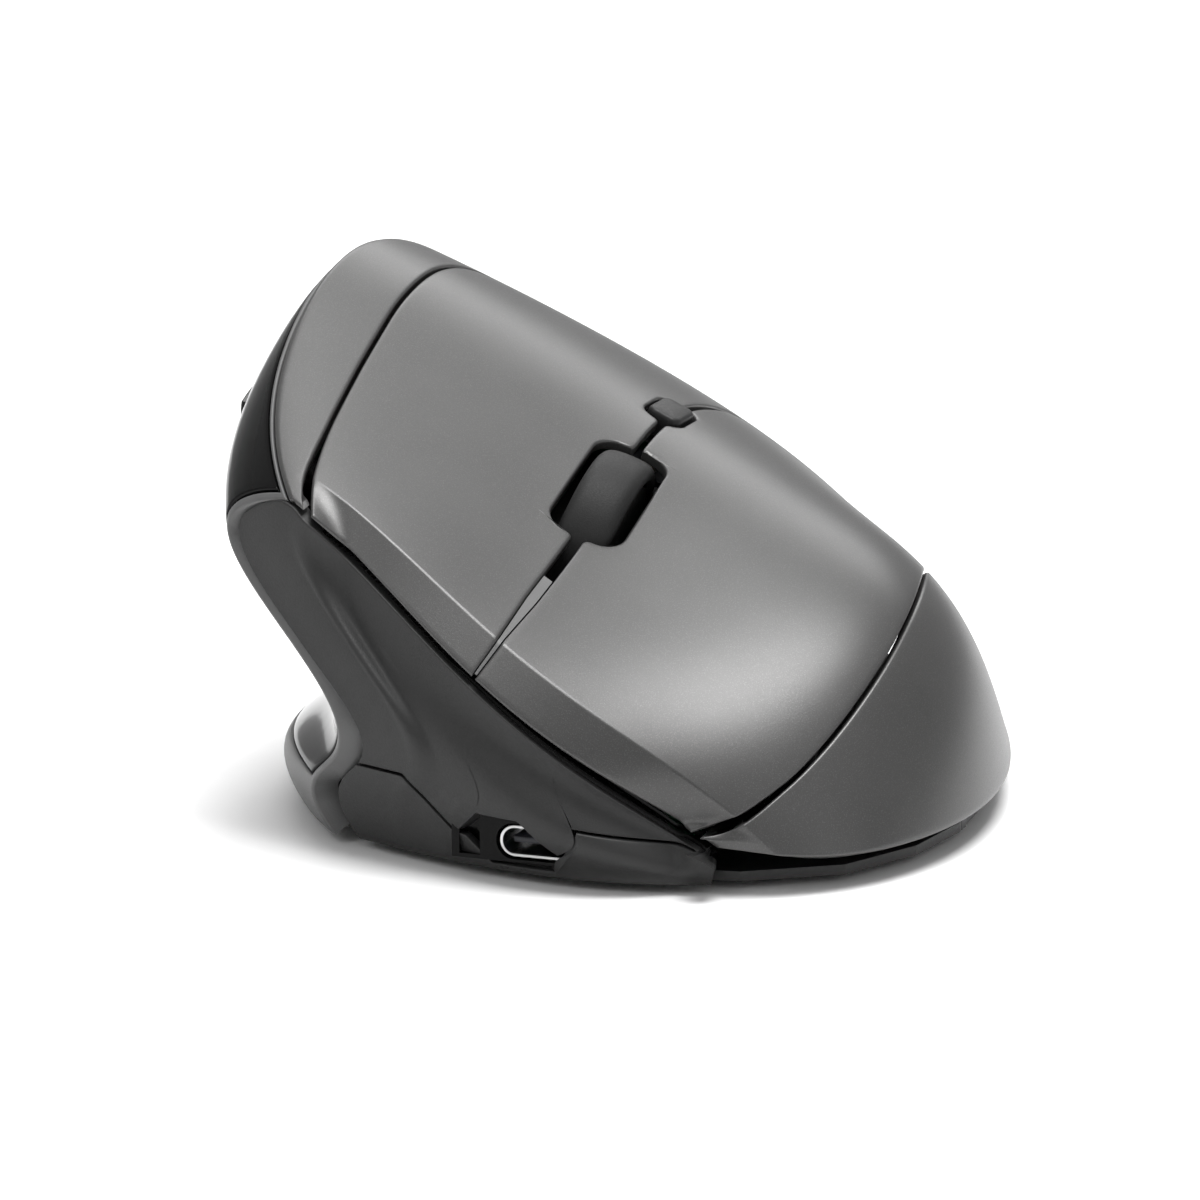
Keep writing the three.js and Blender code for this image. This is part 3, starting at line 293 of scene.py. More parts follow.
def face_inward(v, u, depth):
    return -face_normal(v, u) * depth[..., None]


# ------------------------------------------------------------------ meshes

# Insets of a rounded edge from its border, as shares of its radius.
FINE = np.array([0, 0.076, 0.293, 0.617, 1.0])


def values(start, end, cells, scale=70.0, rounded=(True, True)):
    """Parameter values from start to end, with fine steps beside a rounded border and even steps between."""
    start, end = np.asarray(start, float)[..., None], np.asarray(end, float)[..., None]
    fine = EDGE * FINE / np.asarray(scale, float)[..., None]
    low = start + (fine if rounded[0] else 0 * fine[..., :1])
    high = end - (fine[..., ::-1] if rounded[1] else 0 * fine[..., :1])
    low, high = low + 0 * high[..., :1], high + 0 * low[..., :1]
    middle = np.linspace(low[..., -1], high[..., 0], cells + 1, axis=-1)[..., 1:-1]
    return np.concatenate([low, middle, high], -1)


def beside(value, scale, reach=1.6, cells=10):
    """Extra parameter values on both sides of a place where an outline turns."""
    return value + np.linspace(-reach, reach, cells) / scale


def merged(*lists):
    """All the values in order, without those that almost repeat."""
    ordered = np.sort(np.concatenate(lists))
    return ordered[np.concatenate([[True], np.diff(ordered) > 2e-4])]


def rounding(distance, radius=EDGE):
    """How far a rounded edge lies below the flat surface, by the distance from its border."""
    inner = np.clip(radius - distance, 0, radius)
    return radius - np.sqrt(np.maximum(radius**2 - inner**2, 0))


def new_piece(name, points, faces, material, body, nodes=(), sharp=None):
    """Points in millimetres in the design frame become a smooth-shaded object that rides on a body."""
    mesh = bpy.data.meshes.new(name)
    mesh.from_pydata(((np.asarray(points) + ORIGIN) * MM).tolist(), [], faces)
    work = bmesh.new()
    work.from_mesh(mesh)
    bmesh.ops.delete(work, geom=[v for v in work.verts if not v.link_faces], context="VERTS")
    bmesh.ops.remove_doubles(work, verts=work.verts, dist=2e-6)
    bmesh.ops.dissolve_degenerate(work, edges=work.edges, dist=1e-6)
    bmesh.ops.recalc_face_normals(work, faces=work.faces)
    work.to_mesh(mesh)
    work.free()
    mesh.shade_smooth()
    mesh.set_sharp_from_angle(angle=math.radians(sharp or 50))
    piece = bpy.data.objects.new(name, mesh)
    bpy.context.scene.collection.objects.link(piece)
    mesh.materials.append(MATERIALS[material])
    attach(piece, body)
    if nodes:
        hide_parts(*nodes)
    return piece


def shell_faces(keep):
    """Outer, inner and side faces over the kept cells of a grid."""
    rows, columns = keep.shape
    width, layer = columns + 1, (rows + 1) * (columns + 1)
    padded = np.pad(keep, 1)
    faces = []
    for j, i in zip(*np.nonzero(keep)):
        a = int(j * width + i)
        b, c, d = a + 1, a + width + 1, a + width
        faces.append((a, b, c, d))
        faces.append((d + layer, c + layer, b + layer, a + layer))
        if not padded[j, i + 1]:
            faces.append((b, a, a + layer, b + layer))
        if not padded[j + 2, i + 1]:
            faces.append((d, c, c + layer, d + layer))
        if not padded[j + 1, i]:
            faces.append((a, d, d + layer, a + layer))
        if not padded[j + 1, i + 2]:
            faces.append((c, b, b + layer, c + layer))
    return faces


def skin(name, columns, rows, look, distance=None, keep=None, depth=WALL, height=0.0, on="wrap", radius=EDGE):
    """A closed shell over a parameter grid. columns has a line of values for each row, and distance gives how
    many millimetres a place lies from the nearest border of the piece."""
    surface, normal, inward = SURFACES[on]
    rows = np.asarray(rows, float)
    across = np.broadcast_to(columns, (len(rows), np.shape(columns)[-1])).astype(float)
    along = np.repeat(rows[:, None], across.shape[1], 1)
    base = surface(across, along)
    away = np.full(across.shape, 9.0) if distance is None else distance(across, along)
    outer = base + normal(across, along) * (height - rounding(away, radius))[..., None]
    inner = base + inward(across, along, np.broadcast_to(depth, across.shape))
    middle = [(grid[1:, 1:] + grid[:-1, :-1]) / 2 for grid in (across, along)]
    kept = np.ones(middle[0].shape, bool) if keep is None else keep(*middle)
    points = np.concatenate([outer.reshape(-1, 3), inner.reshape(-1, 3)])
    return new_piece(name, points, shell_faces(kept), look["material"], look["body"], look.get("nodes", ()))


SURFACES = {"wrap": (wrap, wrap_normal, wrap_inward), "face": (face, face_normal, face_inward)}


def rounded_outline(width, length, corner, steps=7):
    """A rounded rectangle about the origin, anticlockwise, with the same number of points at any size."""
    corner = min(corner, width / 2, length / 2)
    centres = [(1, 1), (-1, 1), (-1, -1), (1, -1)]
    points = []
    for quarter, (sx, sy) in enumerate(centres):
        for step in range(steps):
            angle = math.radians(90 * quarter + 90 * step / (steps - 1))
            x = sx * (width / 2 - corner) + corner * math.cos(angle)
            points.append((x, sy * (length / 2 - corner) + corner * math.sin(angle)))
    return np.array(points)


def loft_faces(rings, count, closed):
    faces = []
    for ring in range(rings - 1):
        for k in range(count):
            a, b = ring * count + k, ring * count + (k + 1) % count
            faces.append((a, b, b + count, a + count))
    if closed:
        faces.append(tuple(range(count))[::-1])
        faces.append(tuple(range((rings - 1) * count, rings * count)))
    else:
        last = (rings - 1) * count
        faces += [(last + k, last + (k + 1) % count, (k + 1) % count, k) for k in range(count)]
    return faces


def loft(name, rings, look, place=None, closed=True, sharp=None):
    """A skin over rings of points. A ring list that is not closed by caps joins back to its first ring."""
    points = np.concatenate([np.asarray(ring, float) for ring in rings])
    if place is not None:
        points = points @ place[0].T + place[1]
    faces = loft_faces(len(rings), len(rings[0]), closed)
    return new_piece(name, points, faces, look["material"], look["body"], look.get("nodes", ()), sharp=sharp)


def cap_rings(width, length, corner, foot, top, edge, crown):
    """Rings of a button cap: straight sides, a rounded edge and a crowned top."""
    rings = [(0, foot), (0, top - edge)]
    turns = np.radians([22, 45, 68, 90])
    rings += [(edge * (1 - math.cos(a)), top - edge * (1 - math.sin(a))) for a in turns]
    span = min(width, length) / 2 - edge - 0.02
    rings += [(edge + span * s, top + crown * (1 - (1 - s) ** 2)) for s in (0.2, 0.4, 0.6, 0.8, 0.99)]
    made = []
    for inset, z in rings:
        outline = rounded_outline(width - 2 * inset, length - 2 * inset, max(corner - inset, 0.05))
        made.append(np.column_stack([outline, np.full(len(outline), z)]))
    return made


def frame_at(w, t):
    """Rotation and place of a frame on the hand surface: X across, Y to the rear, Z outwards."""
    w, t = np.array([w]), np.array([t])
    outward = wrap_normal(w, t)[0]
    rear = (wrap(w, t + 0.02) - wrap(w, t - 0.02))[0]
    rear = unit(rear - outward * rear.dot(outward))
    return np.column_stack([np.cross(rear, outward), rear, outward]), wrap(w, t)[0]


WHEEL_FRAME = frame_at(SLIT, WHEEL_T)
DPI_FRAME = frame_at(DPI_ACROSS, DPI_T)

# ------------------------------------------------------------------ materials


def noise(nodes, links, coordinates, scale, detail=3.0, roughness=0.5):
    texture = nodes.new("ShaderNodeTexNoise")
    texture.inputs["Scale"].default_value = scale
    texture.inputs["Detail"].default_value = detail
    texture.inputs["Roughness"].default_value = roughness
    links.new(coordinates, texture.inputs["Vector"])
    return texture.outputs["Fac"]


def ramp(nodes, links, value, stops):
    mapping = nodes.new("ShaderNodeValToRGB")
    for index, (position, colour) in enumerate(stops):
        if index >= 2:
            mapping.color_ramp.elements.new(position)
        mapping.color_ramp.elements[index].position = position
        mapping.color_ramp.elements[index].color = (*colour, 1)
    links.new(value, mapping.inputs["Fac"])
    return mapping.outputs["Color"]


def remap(nodes, links, value, low, high):
    mapping = nodes.new("ShaderNodeMapRange")
    mapping.inputs["From Min"].default_value = 0.3
    mapping.inputs["From Max"].default_value = 0.7
    mapping.inputs["To Min"].default_value = low
    mapping.inputs["To Max"].default_value = high
    links.new(value, mapping.inputs["Value"])
    return mapping.outputs["Result"]


def blended(nodes, links, share, first, second):
    mix = nodes.new("ShaderNodeMix")
    mix.data_type = "RGBA"
    links.new(share, mix.inputs["Factor"])
    links.new(first, mix.inputs[6])
    mix.inputs[7].default_value = (*second, 1)
    return mix.outputs[2]


def make_material(name, colour, roughness, grain, bump, metallic=0.0, variation=0.08, sparkle=0.0,
                  coat=0.0, edge_wear_and_highlight=0.12, specular=0.5, transmission=0.0):
    """Moulded or painted stuff: cloudy colour, fine grain in the bump, uneven gloss and lighter edges, partly
    edge wear and partly a painted highlight.
    grain is the size of the surface texture in millimetres."""
    material = bpy.data.materials.new(name)
    material.use_nodes = True
    nodes, links = material.node_tree.nodes, material.node_tree.links
    shader = nodes["Principled BSDF"]
    coordinates = nodes.new("ShaderNodeTexCoord").outputs["Object"]
    cloud = noise(nodes, links, coordinates, 90)
    fine = noise(nodes, links, coordinates, 1 / (grain * MM), 4, 0.6)
    dark = tuple(c * (1 - variation) for c in colour)
    light = tuple(min(c * (1 + variation), 1) for c in colour)
    tint = ramp(nodes, links, cloud, [(0.35, dark), (0.65, light)])
    if sparkle:
        flakes = noise(nodes, links, coordinates, 1 / (0.11 * MM), 1, 0.4)
        bright = tuple(min(c * (1 + sparkle), 1) for c in colour)
        share = ramp(nodes, links, flakes, [(0.56, (0, 0, 0)), (0.7, (1, 1, 1))])
        tint = blended(nodes, links, share, tint, bright)
    # Edges lightened by pointiness: partly edge wear, partly a painted highlight along the edges.
    if edge_wear_and_highlight:
        edges = nodes.new("ShaderNodeNewGeometry").outputs["Pointiness"]
        share = ramp(nodes, links, edges, [(0.52, (0, 0, 0)), (0.62, (edge_wear_and_highlight, edge_wear_and_highlight, edge_wear_and_highlight))])
        tint = blended(nodes, links, share, tint, tuple(min(c * 1.8 + 0.03, 1) for c in colour))
    links.new(tint, shader.inputs["Base Color"])
    uneven = remap(nodes, links, fine, roughness * 0.88, min(roughness * 1.12, 1))
    links.new(uneven, shader.inputs["Roughness"])
    relief = nodes.new("ShaderNodeBump")
    relief.inputs["Strength"].default_value = bump
    relief.inputs["Distance"].default_value = grain * MM * 0.25
    links.new(fine, relief.inputs["Height"])
    links.new(relief.outputs["Normal"], shader.inputs["Normal"])
    shader.inputs["Metallic"].default_value = metallic
    shader.inputs["Coat Weight"].default_value = coat
    shader.inputs["Coat Roughness"].default_value = 0.04
    shader.inputs["Specular IOR Level"].default_value = specular
    shader.inputs["Transmission Weight"].default_value = transmission
    return material


def grey(value, warm=0.0):
    return (value * (1 + warm), value, value * (1 - warm))


MATERIALS = {
    "satin_shell": make_material("satin_paint", grey(0.072, 0.008), 0.36, 0.16, 0.25, 0.6, 0.04, 0.35,
                                 edge_wear_and_highlight=0.02),
    "matte_base": make_material("matte_plastic", grey(0.017), 0.5, 0.22, 0.4, edge_wear_and_highlight=0.1, specular=0.35),
    "rim": make_material("rim_plastic", grey(0.09), 0.45, 0.2, 0.4, 0.2),
    "piano_black": make_material("piano_black", grey(0.004), 0.09, 3.0, 0.02, edge_wear_and_highlight=0.0, specular=0.1),
    "black_plastic": make_material("black_plastic", grey(0.012), 0.45, 0.25, 0.4, edge_wear_and_highlight=0.05, specular=0.25),
    "rubber": make_material("soft_rubber", grey(0.012), 0.55, 0.18, 0.5, edge_wear_and_highlight=0.05, specular=0.2),
    "steel": make_material("bright_steel", grey(0.6), 0.24, 0.3, 0.12, 1.0, 0.05, edge_wear_and_highlight=0.0),
    "circuit_board": make_material("solder_mask", (0.012, 0.1, 0.04), 0.38, 0.5, 0.25),
    "plunger": make_material("plunger_plastic", (0.6, 0.55, 0.42), 0.42, 0.3, 0.2, edge_wear_and_highlight=0.0),
    "component": make_material("component_plastic", (0.014, 0.015, 0.02), 0.42, 0.2, 0.4),
    "lens": make_material("clear_lens", (0.75, 0.8, 0.84), 0.06, 2.0, 0.02, transmission=0.8, edge_wear_and_highlight=0.0),
    "battery_foil": make_material("battery_foil", grey(0.35), 0.34, 1.2, 0.6, 0.7, 0.1),
    "skate": make_material("skate_plastic", grey(0.016), 0.3, 0.4, 0.2),
    "cable": make_material("cable_jacket", (0.5, 0.47, 0.38), 0.5, 0.4, 0.3, edge_wear_and_highlight=0.0),
}
SATIN = {"material": "satin_shell", "body": "case"}

# ------------------------------------------------------------------ palm keys


def local(frame_pair, points):
    rotation, origin = frame_pair
    return (points - origin) @ rotation


def rounded_box_distance(x, y, width, length, corner):
    """Distance to a rounded rectangle about the origin: negative inside."""
    qx, qy = np.abs(x) - width / 2 + corner, np.abs(y) - length / 2 + corner
    return np.hypot(np.maximum(qx, 0), np.maximum(qy, 0)) + np.minimum(np.maximum(qx, qy), 0) - corner


SLIT_HALVES = [(0, 0.24), (0.05, 0.3), (0.1, 0.58), (0.17, 0.58), (0.3, 0.34), (1, 0.34)]


def opening_distance(w, t):
    """Distance in the palm to the slit and the openings of wheel and button, joined with soft corners."""
    points = wrap(w, t)
    slit = np.abs(w - SLIT) * PALM_SCALE - table_value(SLIT_HALVES, t)
    slot = local(WHEEL_FRAME, points)
    hole = local(DPI_FRAME, points)
    nearest = rounded_box_distance(slot[..., 0], slot[..., 1], *SLOT)
    nearest = np.minimum(nearest, rounded_box_distance(hole[..., 0], hole[..., 1], *DPI_HOLE))
    soft = 0.8
    share = np.clip(0.5 + 0.5 * (nearest - slit) / soft, 0, 1)
    return nearest * (1 - share) + slit * share - soft * share * (1 - share)


def opening_border(t, side):
    """Where the key on that side of the slit meets the openings."""
    far, near = np.full(t.shape, SLIT + side * 0.13), np.full(t.shape, SLIT + side * 0.0004)
    for _ in range(26):
        half = (far + near) / 2
        outside = opening_distance(half, t) > 0
        far, near = np.where(outside, half, far), np.where(outside, near, half)
    return far


def seam_line(seam, t, side):
    """A palm seam moved sideways by half its gap."""
    return seam(t) + side * GAP / scale_across(wrap, seam(t), t)


def key_side(seam, t, side):
    """The key's side of a palm seam, eased back at the front corner."""
    gap = GAP + CORNER_EASE * (1 - smoothstep(t, 0, 0.12))
    return seam(t) + side * gap / scale_across(wrap, seam(t), t)


def key_rows():
    ends = []
    for t, length in ((WHEEL_T, SLOT[1]), (DPI_T, DPI_HOLE[1])):
        scale = scale_along(wrap, SLIT, t)
        ends += [beside(t + side * (length / 2 - 0.9) / scale, scale, 1.6, 22) for side in (-1, 1)]
    chamfer = CHAMFER_T + np.linspace(-0.012, 0.012, 7)
    return merged(values(0, HINGE_T - HALF_HINGE_GAP, 150, ROW_SCALE), chamfer, *ends)


def key_skin(name, side, nodes):
    rows = key_rows()
    middle = opening_border(rows, side)
    outer = key_side(left_seam if side < 0 else right_seam, rows, -side)
    start, end = (outer, middle) if side < 0 else (middle, outer)
    seam = left_seam if side < 0 else right_seam

    def distance(w, t):
        edge = key_side(seam, t[:, 0], -side)[:, None]
        sideways = np.abs(w - edge) * PALM_SCALE
        ends = np.minimum(t * ALONG_SCALE, (HINGE_T - HALF_HINGE_GAP - t) * ALONG_SCALE)
        return np.minimum.reduce([sideways, np.maximum(opening_distance(w, t), 0), ends])

    columns = values(start, end, 70, PALM_SCALE)
    look = {"material": "satin_shell", "body": name, "nodes": nodes}
    return skin(f"{name}_skin", columns, rows, look, distance, depth=KEY_WALL)


def palm_cover_skin():
    rows = values(HINGE_T + HALF_HINGE_GAP, COVER_END_T - HALF_END_GAP, 60, ROW_SCALE)
    start, end = seam_line(left_seam, rows, 1), seam_line(right_seam, rows, -1)

    def distance(w, t):
        sideways = np.minimum(w - start[:, None], end[:, None] - w) * PALM_SCALE
        ends = np.minimum(t - rows[0], rows[-1] - t) * ALONG_SCALE
        return np.minimum(sideways, ends)

    look = {**SATIN, "nodes": ["palm_cover"]}
    return skin("palm_cover_skin", values(start, end, 90, PALM_SCALE), rows, look, distance)


# ------------------------------------------------------------------ body shell

THUMB_CUT = THUMB_END_T + HALF_END_GAP
COVER_CUT = COVER_END_T + HALF_END_GAP


def body_columns(rows):
    left, right = seam_line(left_seam, rows, -1), seam_line(right_seam, rows, 1)
    flat = 0 * rows
    bands = [
        values(flat - 1, flat + BAND_TOP, 70, BODY_SCALE, (True, False)),
        values(flat + BAND_TOP, left, 22, BODY_SCALE),
        values(left, right, 90, PALM_SCALE, (False, False)),
        values(right, flat + 1, 34, BODY_SCALE),
    ]
    return np.concatenate([bands[0]] + [band[:, 1:] for band in bands[1:]], 1)


def in_body(w, t):
    thumb = (w < BAND_TOP) & (t < THUMB_CUT)
    palm = (w > seam_line(left_seam, t, -1)) & (w < seam_line(right_seam, t, 1)) & (t < COVER_CUT)
    return ~(thumb | palm)


def corner_distance(sideways, endways):
    """Distance to a region that lies behind both lines."""
    return np.hypot(np.maximum(sideways, 0), np.maximum(endways, 0))


def body_distance(w, t):
    line = t[:, 0]
    left, right = seam_line(left_seam, line, -1)[:, None], seam_line(right_seam, line, 1)[:, None]
    palm = corner_distance(np.maximum(left - w, w - right) * PALM_SCALE, (t - COVER_CUT) * ALONG_SCALE)
    thumb = corner_distance((w - BAND_TOP) * BODY_SCALE, (t - THUMB_CUT) * ALONG_SCALE)
    rims = np.minimum(1 - w, w + 1) * BODY_SCALE
    return np.minimum.reduce([palm, thumb, rims, t * ALONG_SCALE])


def body_skin():
    rows = merged(
        values(0, THUMB_CUT, 150, ROW_SCALE, (True, False)),
        CHAMFER_T + np.linspace(-0.012, 0.012, 7),
        values(THUMB_CUT, COVER_CUT, 14, ROW_SCALE, (True, False)),
        values(COVER_CUT, 1, 34, ROW_SCALE, (True, False)),
    )
    look = {**SATIN, "nodes": ["body_shell"]}
    return skin("body_shell_skin", body_columns(rows), rows, look, body_distance, in_body)


# ------------------------------------------------------------------ thumb side

RING = {"low": -0.887, "high": -0.028, "front": 0.009, "rear": 0.76}
WINDOW = {"low": -0.276, "high": -0.159, "front": 0.146, "rear": 0.434}
RING_TOP = BAND_TOP - 0.004


def rectangle_distance(area, w, t):
    """Distance to a rectangle of parameters, in millimetres: negative inside."""
    sideways = np.maximum(area["low"] - w, w - area["high"]) * THUMB_SCALE
    endways = np.maximum(area["front"] - t, t - area["rear"]) * ALONG_SCALE
    outside = np.hypot(np.maximum(sideways, 0), np.maximum(endways, 0))
    return outside + np.minimum(np.maximum(sideways, endways), 0)


def grown(area, gap):
    across, along = gap / THUMB_SCALE, gap / ALONG_SCALE
    return {
        "low": area["low"] - across, "high": area["high"] + across,
        "front": area["front"] - along, "rear": area["rear"] + along,
    }


def thumb_frame_skin():
    whole = {"low": -1, "high": RING_TOP, "front": 0, "rear": THUMB_END_T - HALF_END_GAP}
    hole = grown(RING, GAP / 2)
    columns = np.concatenate([
        values(-1, hole["low"], 10, THUMB_SCALE),
        values(hole["low"], hole["high"], 60, THUMB_SCALE, (False, False))[1:-1],
        values(hole["high"], RING_TOP, 4, THUMB_SCALE * 3),
    ])
    rows = np.concatenate([
        values(0, hole["front"], 8, ALONG_SCALE),
        values(hole["front"], hole["rear"], 110, ALONG_SCALE, (False, False))[1:-1],
        values(hole["rear"], whole["rear"], 8, ALONG_SCALE),
    ])

    def distance(w, t):
        return np.minimum(-rectangle_distance(whole, w, t), np.maximum(rectangle_distance(hole, w, t), 0))

    def keep(w, t):
        return rectangle_distance(hole, w, t) > 0

    look = {"material": "rim", "body": "case", "nodes": ["thumb_frame"]}
    thicker = WALL + 1.0 * smoothstep(-columns, 0.5, 0.83)
    return skin("thumb_frame_skin", columns, rows, look, distance, keep, depth=thicker)


def thumb_panel_skin():
    area = grown(RING, -GAP / 2)
    columns = np.concatenate([
        values(area["low"], WINDOW["low"], 50, THUMB_SCALE),
        values(WINDOW["low"], WINDOW["high"], 8, THUMB_SCALE, (False, False))[1:-1],
        values(WINDOW["high"], area["high"], 16, THUMB_SCALE),
    ])
    rows = np.concatenate([
        values(area["front"], WINDOW["front"], 20, ALONG_SCALE),
        values(WINDOW["front"], WINDOW["rear"], 44, ALONG_SCALE, (False, False))[1:-1],
        values(WINDOW["rear"], area["rear"], 50, ALONG_SCALE),
    ])

    def distance(w, t):
        return np.minimum(-rectangle_distance(area, w, t), np.maximum(rectangle_distance(WINDOW, w, t), 0))

    def keep(w, t):
        return rectangle_distance(WINDOW, w, t) > 0

    look = {"material": "piano_black", "body": "case", "nodes": ["thumb_panel"]}
    return skin("thumb_panel_skin", columns, rows, look, distance, keep)


def side_button_skin(name, front_t, rear_t):
    area = {"low": -0.27, "high": -0.165, "front": front_t, "rear": rear_t}

    def distance(w, t):
        return -rectangle_distance(area, w, t)

    columns = values(area["low"], area["high"], 16, THUMB_SCALE)
    rows = values(front_t, rear_t, 36, ALONG_SCALE)
    look = {"material": "piano_black", "body": name, "nodes": [name]}
    return skin(f"{name}_skin", columns, rows, look, distance, height=BUTTON_PROUD)


# ------------------------------------------------------------------ front wall


def line_distance(x, z, pairs):
    """Distance to a line through (X, Z) pairs."""
    nearest = np.full(np.shape(x), 1e3)
    for (x0, z0), (x1, z1) in zip(pairs, pairs[1:]):
        length = (x1 - x0) ** 2 + (z1 - z0) ** 2
        share = np.clip(((x - x0) * (x1 - x0) + (z - z0) * (z1 - z0)) / length, 0, 1)
        nearest = np.minimum(nearest, np.hypot(x - x0 - share * (x1 - x0), z - z0 - share * (z1 - z0)))
    return nearest


def height_crossing(u, pairs):
    """How far down each column of the front wall meets an edge line."""
    above, below = np.zeros_like(u), np.ones_like(u)
    for _ in range(24):
        half = (above + below) / 2
        point = face(half, u)
        higher = point[..., 2] > table_value(pairs, point[..., 0])
        above, below = np.where(higher, half, above), np.where(higher, below, half)
    return below


def front_rows(pairs):
    """Columns of the front wall, closer together beside the steps of an edge line."""
    even = values(0, 1, 120, FACE_SCALE)
    x = face(np.full_like(even, 0.75), even)[:, 0]
    steps = [beside(np.interp((a[0] + b[0]) / 2, x, even), FACE_SCALE, 0.5, 7)
             for a, b in zip(pairs, pairs[1:]) if abs(a[0] - b[0]) < 0.5]
    return merged(even, *steps)


def front_panel_skin():
    rows = front_rows(PANEL_EDGE)
    end = height_crossing(rows, PANEL_EDGE)

    def distance(v, u):
        point = face(v, u)
        edge = line_distance(point[..., 0], point[..., 2], PANEL_EDGE)
        return np.minimum.reduce([edge, v * PANEL_SCALE, u * FACE_SCALE, (1 - u) * FACE_SCALE])

    look = {"material": "matte_base", "body": "case", "nodes": ["front_panel"]}
    columns = values(0 * end, end, 44, PANEL_SCALE)
    return skin("front_panel_skin", columns, rows, look, distance, on="face", radius=FINE_EDGE)


def base_front_skin():
    rows = front_rows(BASE_EDGE)
    start = height_crossing(rows, BASE_EDGE)

    def distance(v, u):
        point = face(v, u)
        edge = line_distance(point[..., 0], point[..., 2], BASE_EDGE)
        return np.minimum.reduce([edge, (1 - v) * BASE_SCALE, u * FACE_SCALE, (1 - u) * FACE_SCALE])

    look = {"material": "matte_base", "body": "case"}
    columns = values(start, 0 * start + 1, 20, PANEL_SCALE)
    return skin("base_front_skin", columns, rows, look, distance, depth=0.9, height=0.12, on="face",
                radius=FINE_EDGE)


def front_trim_skin():
    """A glossy strip behind the gap under the keys, low under the upper key so as to clear it when pressed."""
    rows = values(0.19, 0.975, 110, FACE_SCALE)
    top = face(np.zeros_like(rows), rows)
    normal = face_normal(np.zeros_like(rows), rows)
    rings = []
    for p, n, tall in zip(top, normal, smoothstep(rows, 0.4, 0.46)):
        section = [
            (-0.9, 0.25 * tall - 0.05), (-0.96, 0.4 * tall), (-2.4, 0.45 * tall),
            (-2.4, 0.7 * tall + 0.01), (-3.0, 0.7 * tall), (-3.0, -0.4), (-0.9, -0.4),
        ]
        rings.append([p + n * out + (0, 0, up) for out, up in section])
    look = {"material": "piano_black", "body": "case", "nodes": ["front_trim"]}
    return loft("front_trim_skin", rings, look)


def slit_inlay():
    """A slender grey inlay in the mouth of the slit, set a little below the palm."""
    rows = values(0.004, 0.13, 40, ROW_SCALE)
    half = (table_value(SLIT_HALVES, rows) - 0.1) / PALM_SCALE
    columns = values(SLIT - half, SLIT + half, 5, PALM_SCALE * 4)
    look = {"material": "rim", "body": "case", "nodes": ["slit_trim"]}
    return skin("slit_inlay", columns, rows, look, height=-0.16, depth=1.4)


# ------------------------------------------------------------------ charge port


def port_ring(width, height, y):
    outline = rounded_outline(width, height, height / 2 - 0.02, 12)
    return np.column_stack([outline[:, 0] + PORT["x"], np.full(len(outline), y), outline[:, 1] + PORT["z"]])


def port_shell():
    """The metal mouth of the charge port: a drawn tube with a rolled lip."""
    y, width, height = PORT["y"], PORT["width"], PORT["height"]
    back = y + PORT["depth"]
    profile = [
        (0, back), (0, y + 0.12), (0.04, y + 0.03), (0.12, y), (0.24, y), (0.32, y + 0.04),
        (0.35, y + 0.14), (0.35, back - 0.6),
    ]
    rings = [port_ring(width - 2 * inset, height - 2 * inset, at) for inset, at in profile]
    look = {"material": "steel", "body": "case", "nodes": ["usb_port_shell"]}
    return loft("usb_port_shell_skin", rings, look, sharp=35)


def port_tongue():
    y = PORT["y"]
    profile = [(0.25, y + 0.7), (0.08, y + 0.78), (0, y + 0.95), (0, y + PORT["depth"] - 0.7)]
    rings = []
    for inset, at in profile:
        outline = rounded_outline(6.6 - 2 * inset, 0.7 - 2 * inset * 0.6, 0.12)
        x, z = outline[:, 0] + PORT["x"], outline[:, 1] + PORT["z"]
        rings.append(np.column_stack([x, np.full(len(outline), at), z]))
    look = {"material": "component", "body": "case", "nodes": ["usb_port_tongue"]}
    return loft("usb_port_tongue_skin", rings, look)


# ------------------------------------------------------------------ wheel and small button


def turned(name, profile, segments, look):
    """A body of revolution about the wheel's axle from (radius, place along the axle) pairs."""
    rings = []
    for radius, x in profile:
        angles = np.linspace(0, 2 * np.pi, segments, endpoint=False)
        y, z = radius * np.cos(angles), WHEEL_PROUD - WHEEL_RADIUS + radius * np.sin(angles)
        rings.append(np.column_stack([np.full(segments, x), y, z]))
    rotation, origin = WHEEL_FRAME
    return loft(name, rings, look, (rotation, origin), closed=False)


def tyre_skin():
    """A smooth barrel with rounded shoulders."""
    half = WHEEL_WIDTH / 2
    profile = [(9.3, -half + 0.5), (10.0, -half)]
    for x in np.linspace(-0.97, 0.97, 25):
        profile.append((WHEEL_RADIUS - 0.3 * x**2 - 0.9 * (1 - math.sqrt(1 - x**6)), x * half))
    profile += [(10.0, half), (9.3, half - 0.5)]
    look = {"material": "rubber", "body": "wheel", "nodes": ["scroll_tyre"]}
    return turned("scroll_tyre_skin", profile, 288, look)


def dpi_skin():
    width, length, corner = DPI_HOLE[0] - 0.8, DPI_HOLE[1] - 0.9, DPI_HOLE[2] - 0.4
    rings = cap_rings(width, length, corner, -2.2, 0.45, 0.5, 0.12)
    look = {"material": "black_plastic", "body": "dpi_button", "nodes": ["dpi_button"]}
    return loft("dpi_button_skin", rings, look, DPI_FRAME)


# ------------------------------------------------------------------ underside

SKATES = {"front_skate": (22, 6, 2, -44), "rear_skate": (20, 6, -5, 40), "thumb_skate": (6, 16, -33, -4)}


def skate_skin(name, width, length, x, y):
    corner = min(width, length) / 2 - 0.1
    rings = []
    for inset, z in [(0, 0.6), (0, 0.22), (0.05, 0.1), (0.14, 0.03), (0.3, 0.0), (1.5, 0.0)]:
        outline = rounded_outline(width - 2 * inset, length - 2 * inset, corner - inset, 9)
        rings.append(np.column_stack([outline[:, 0] + x, outline[:, 1] + y, np.full(len(outline), z)]))
    return loft(f"{name}_skin", rings, {"material": "skate", "body": "case", "nodes": [name]})


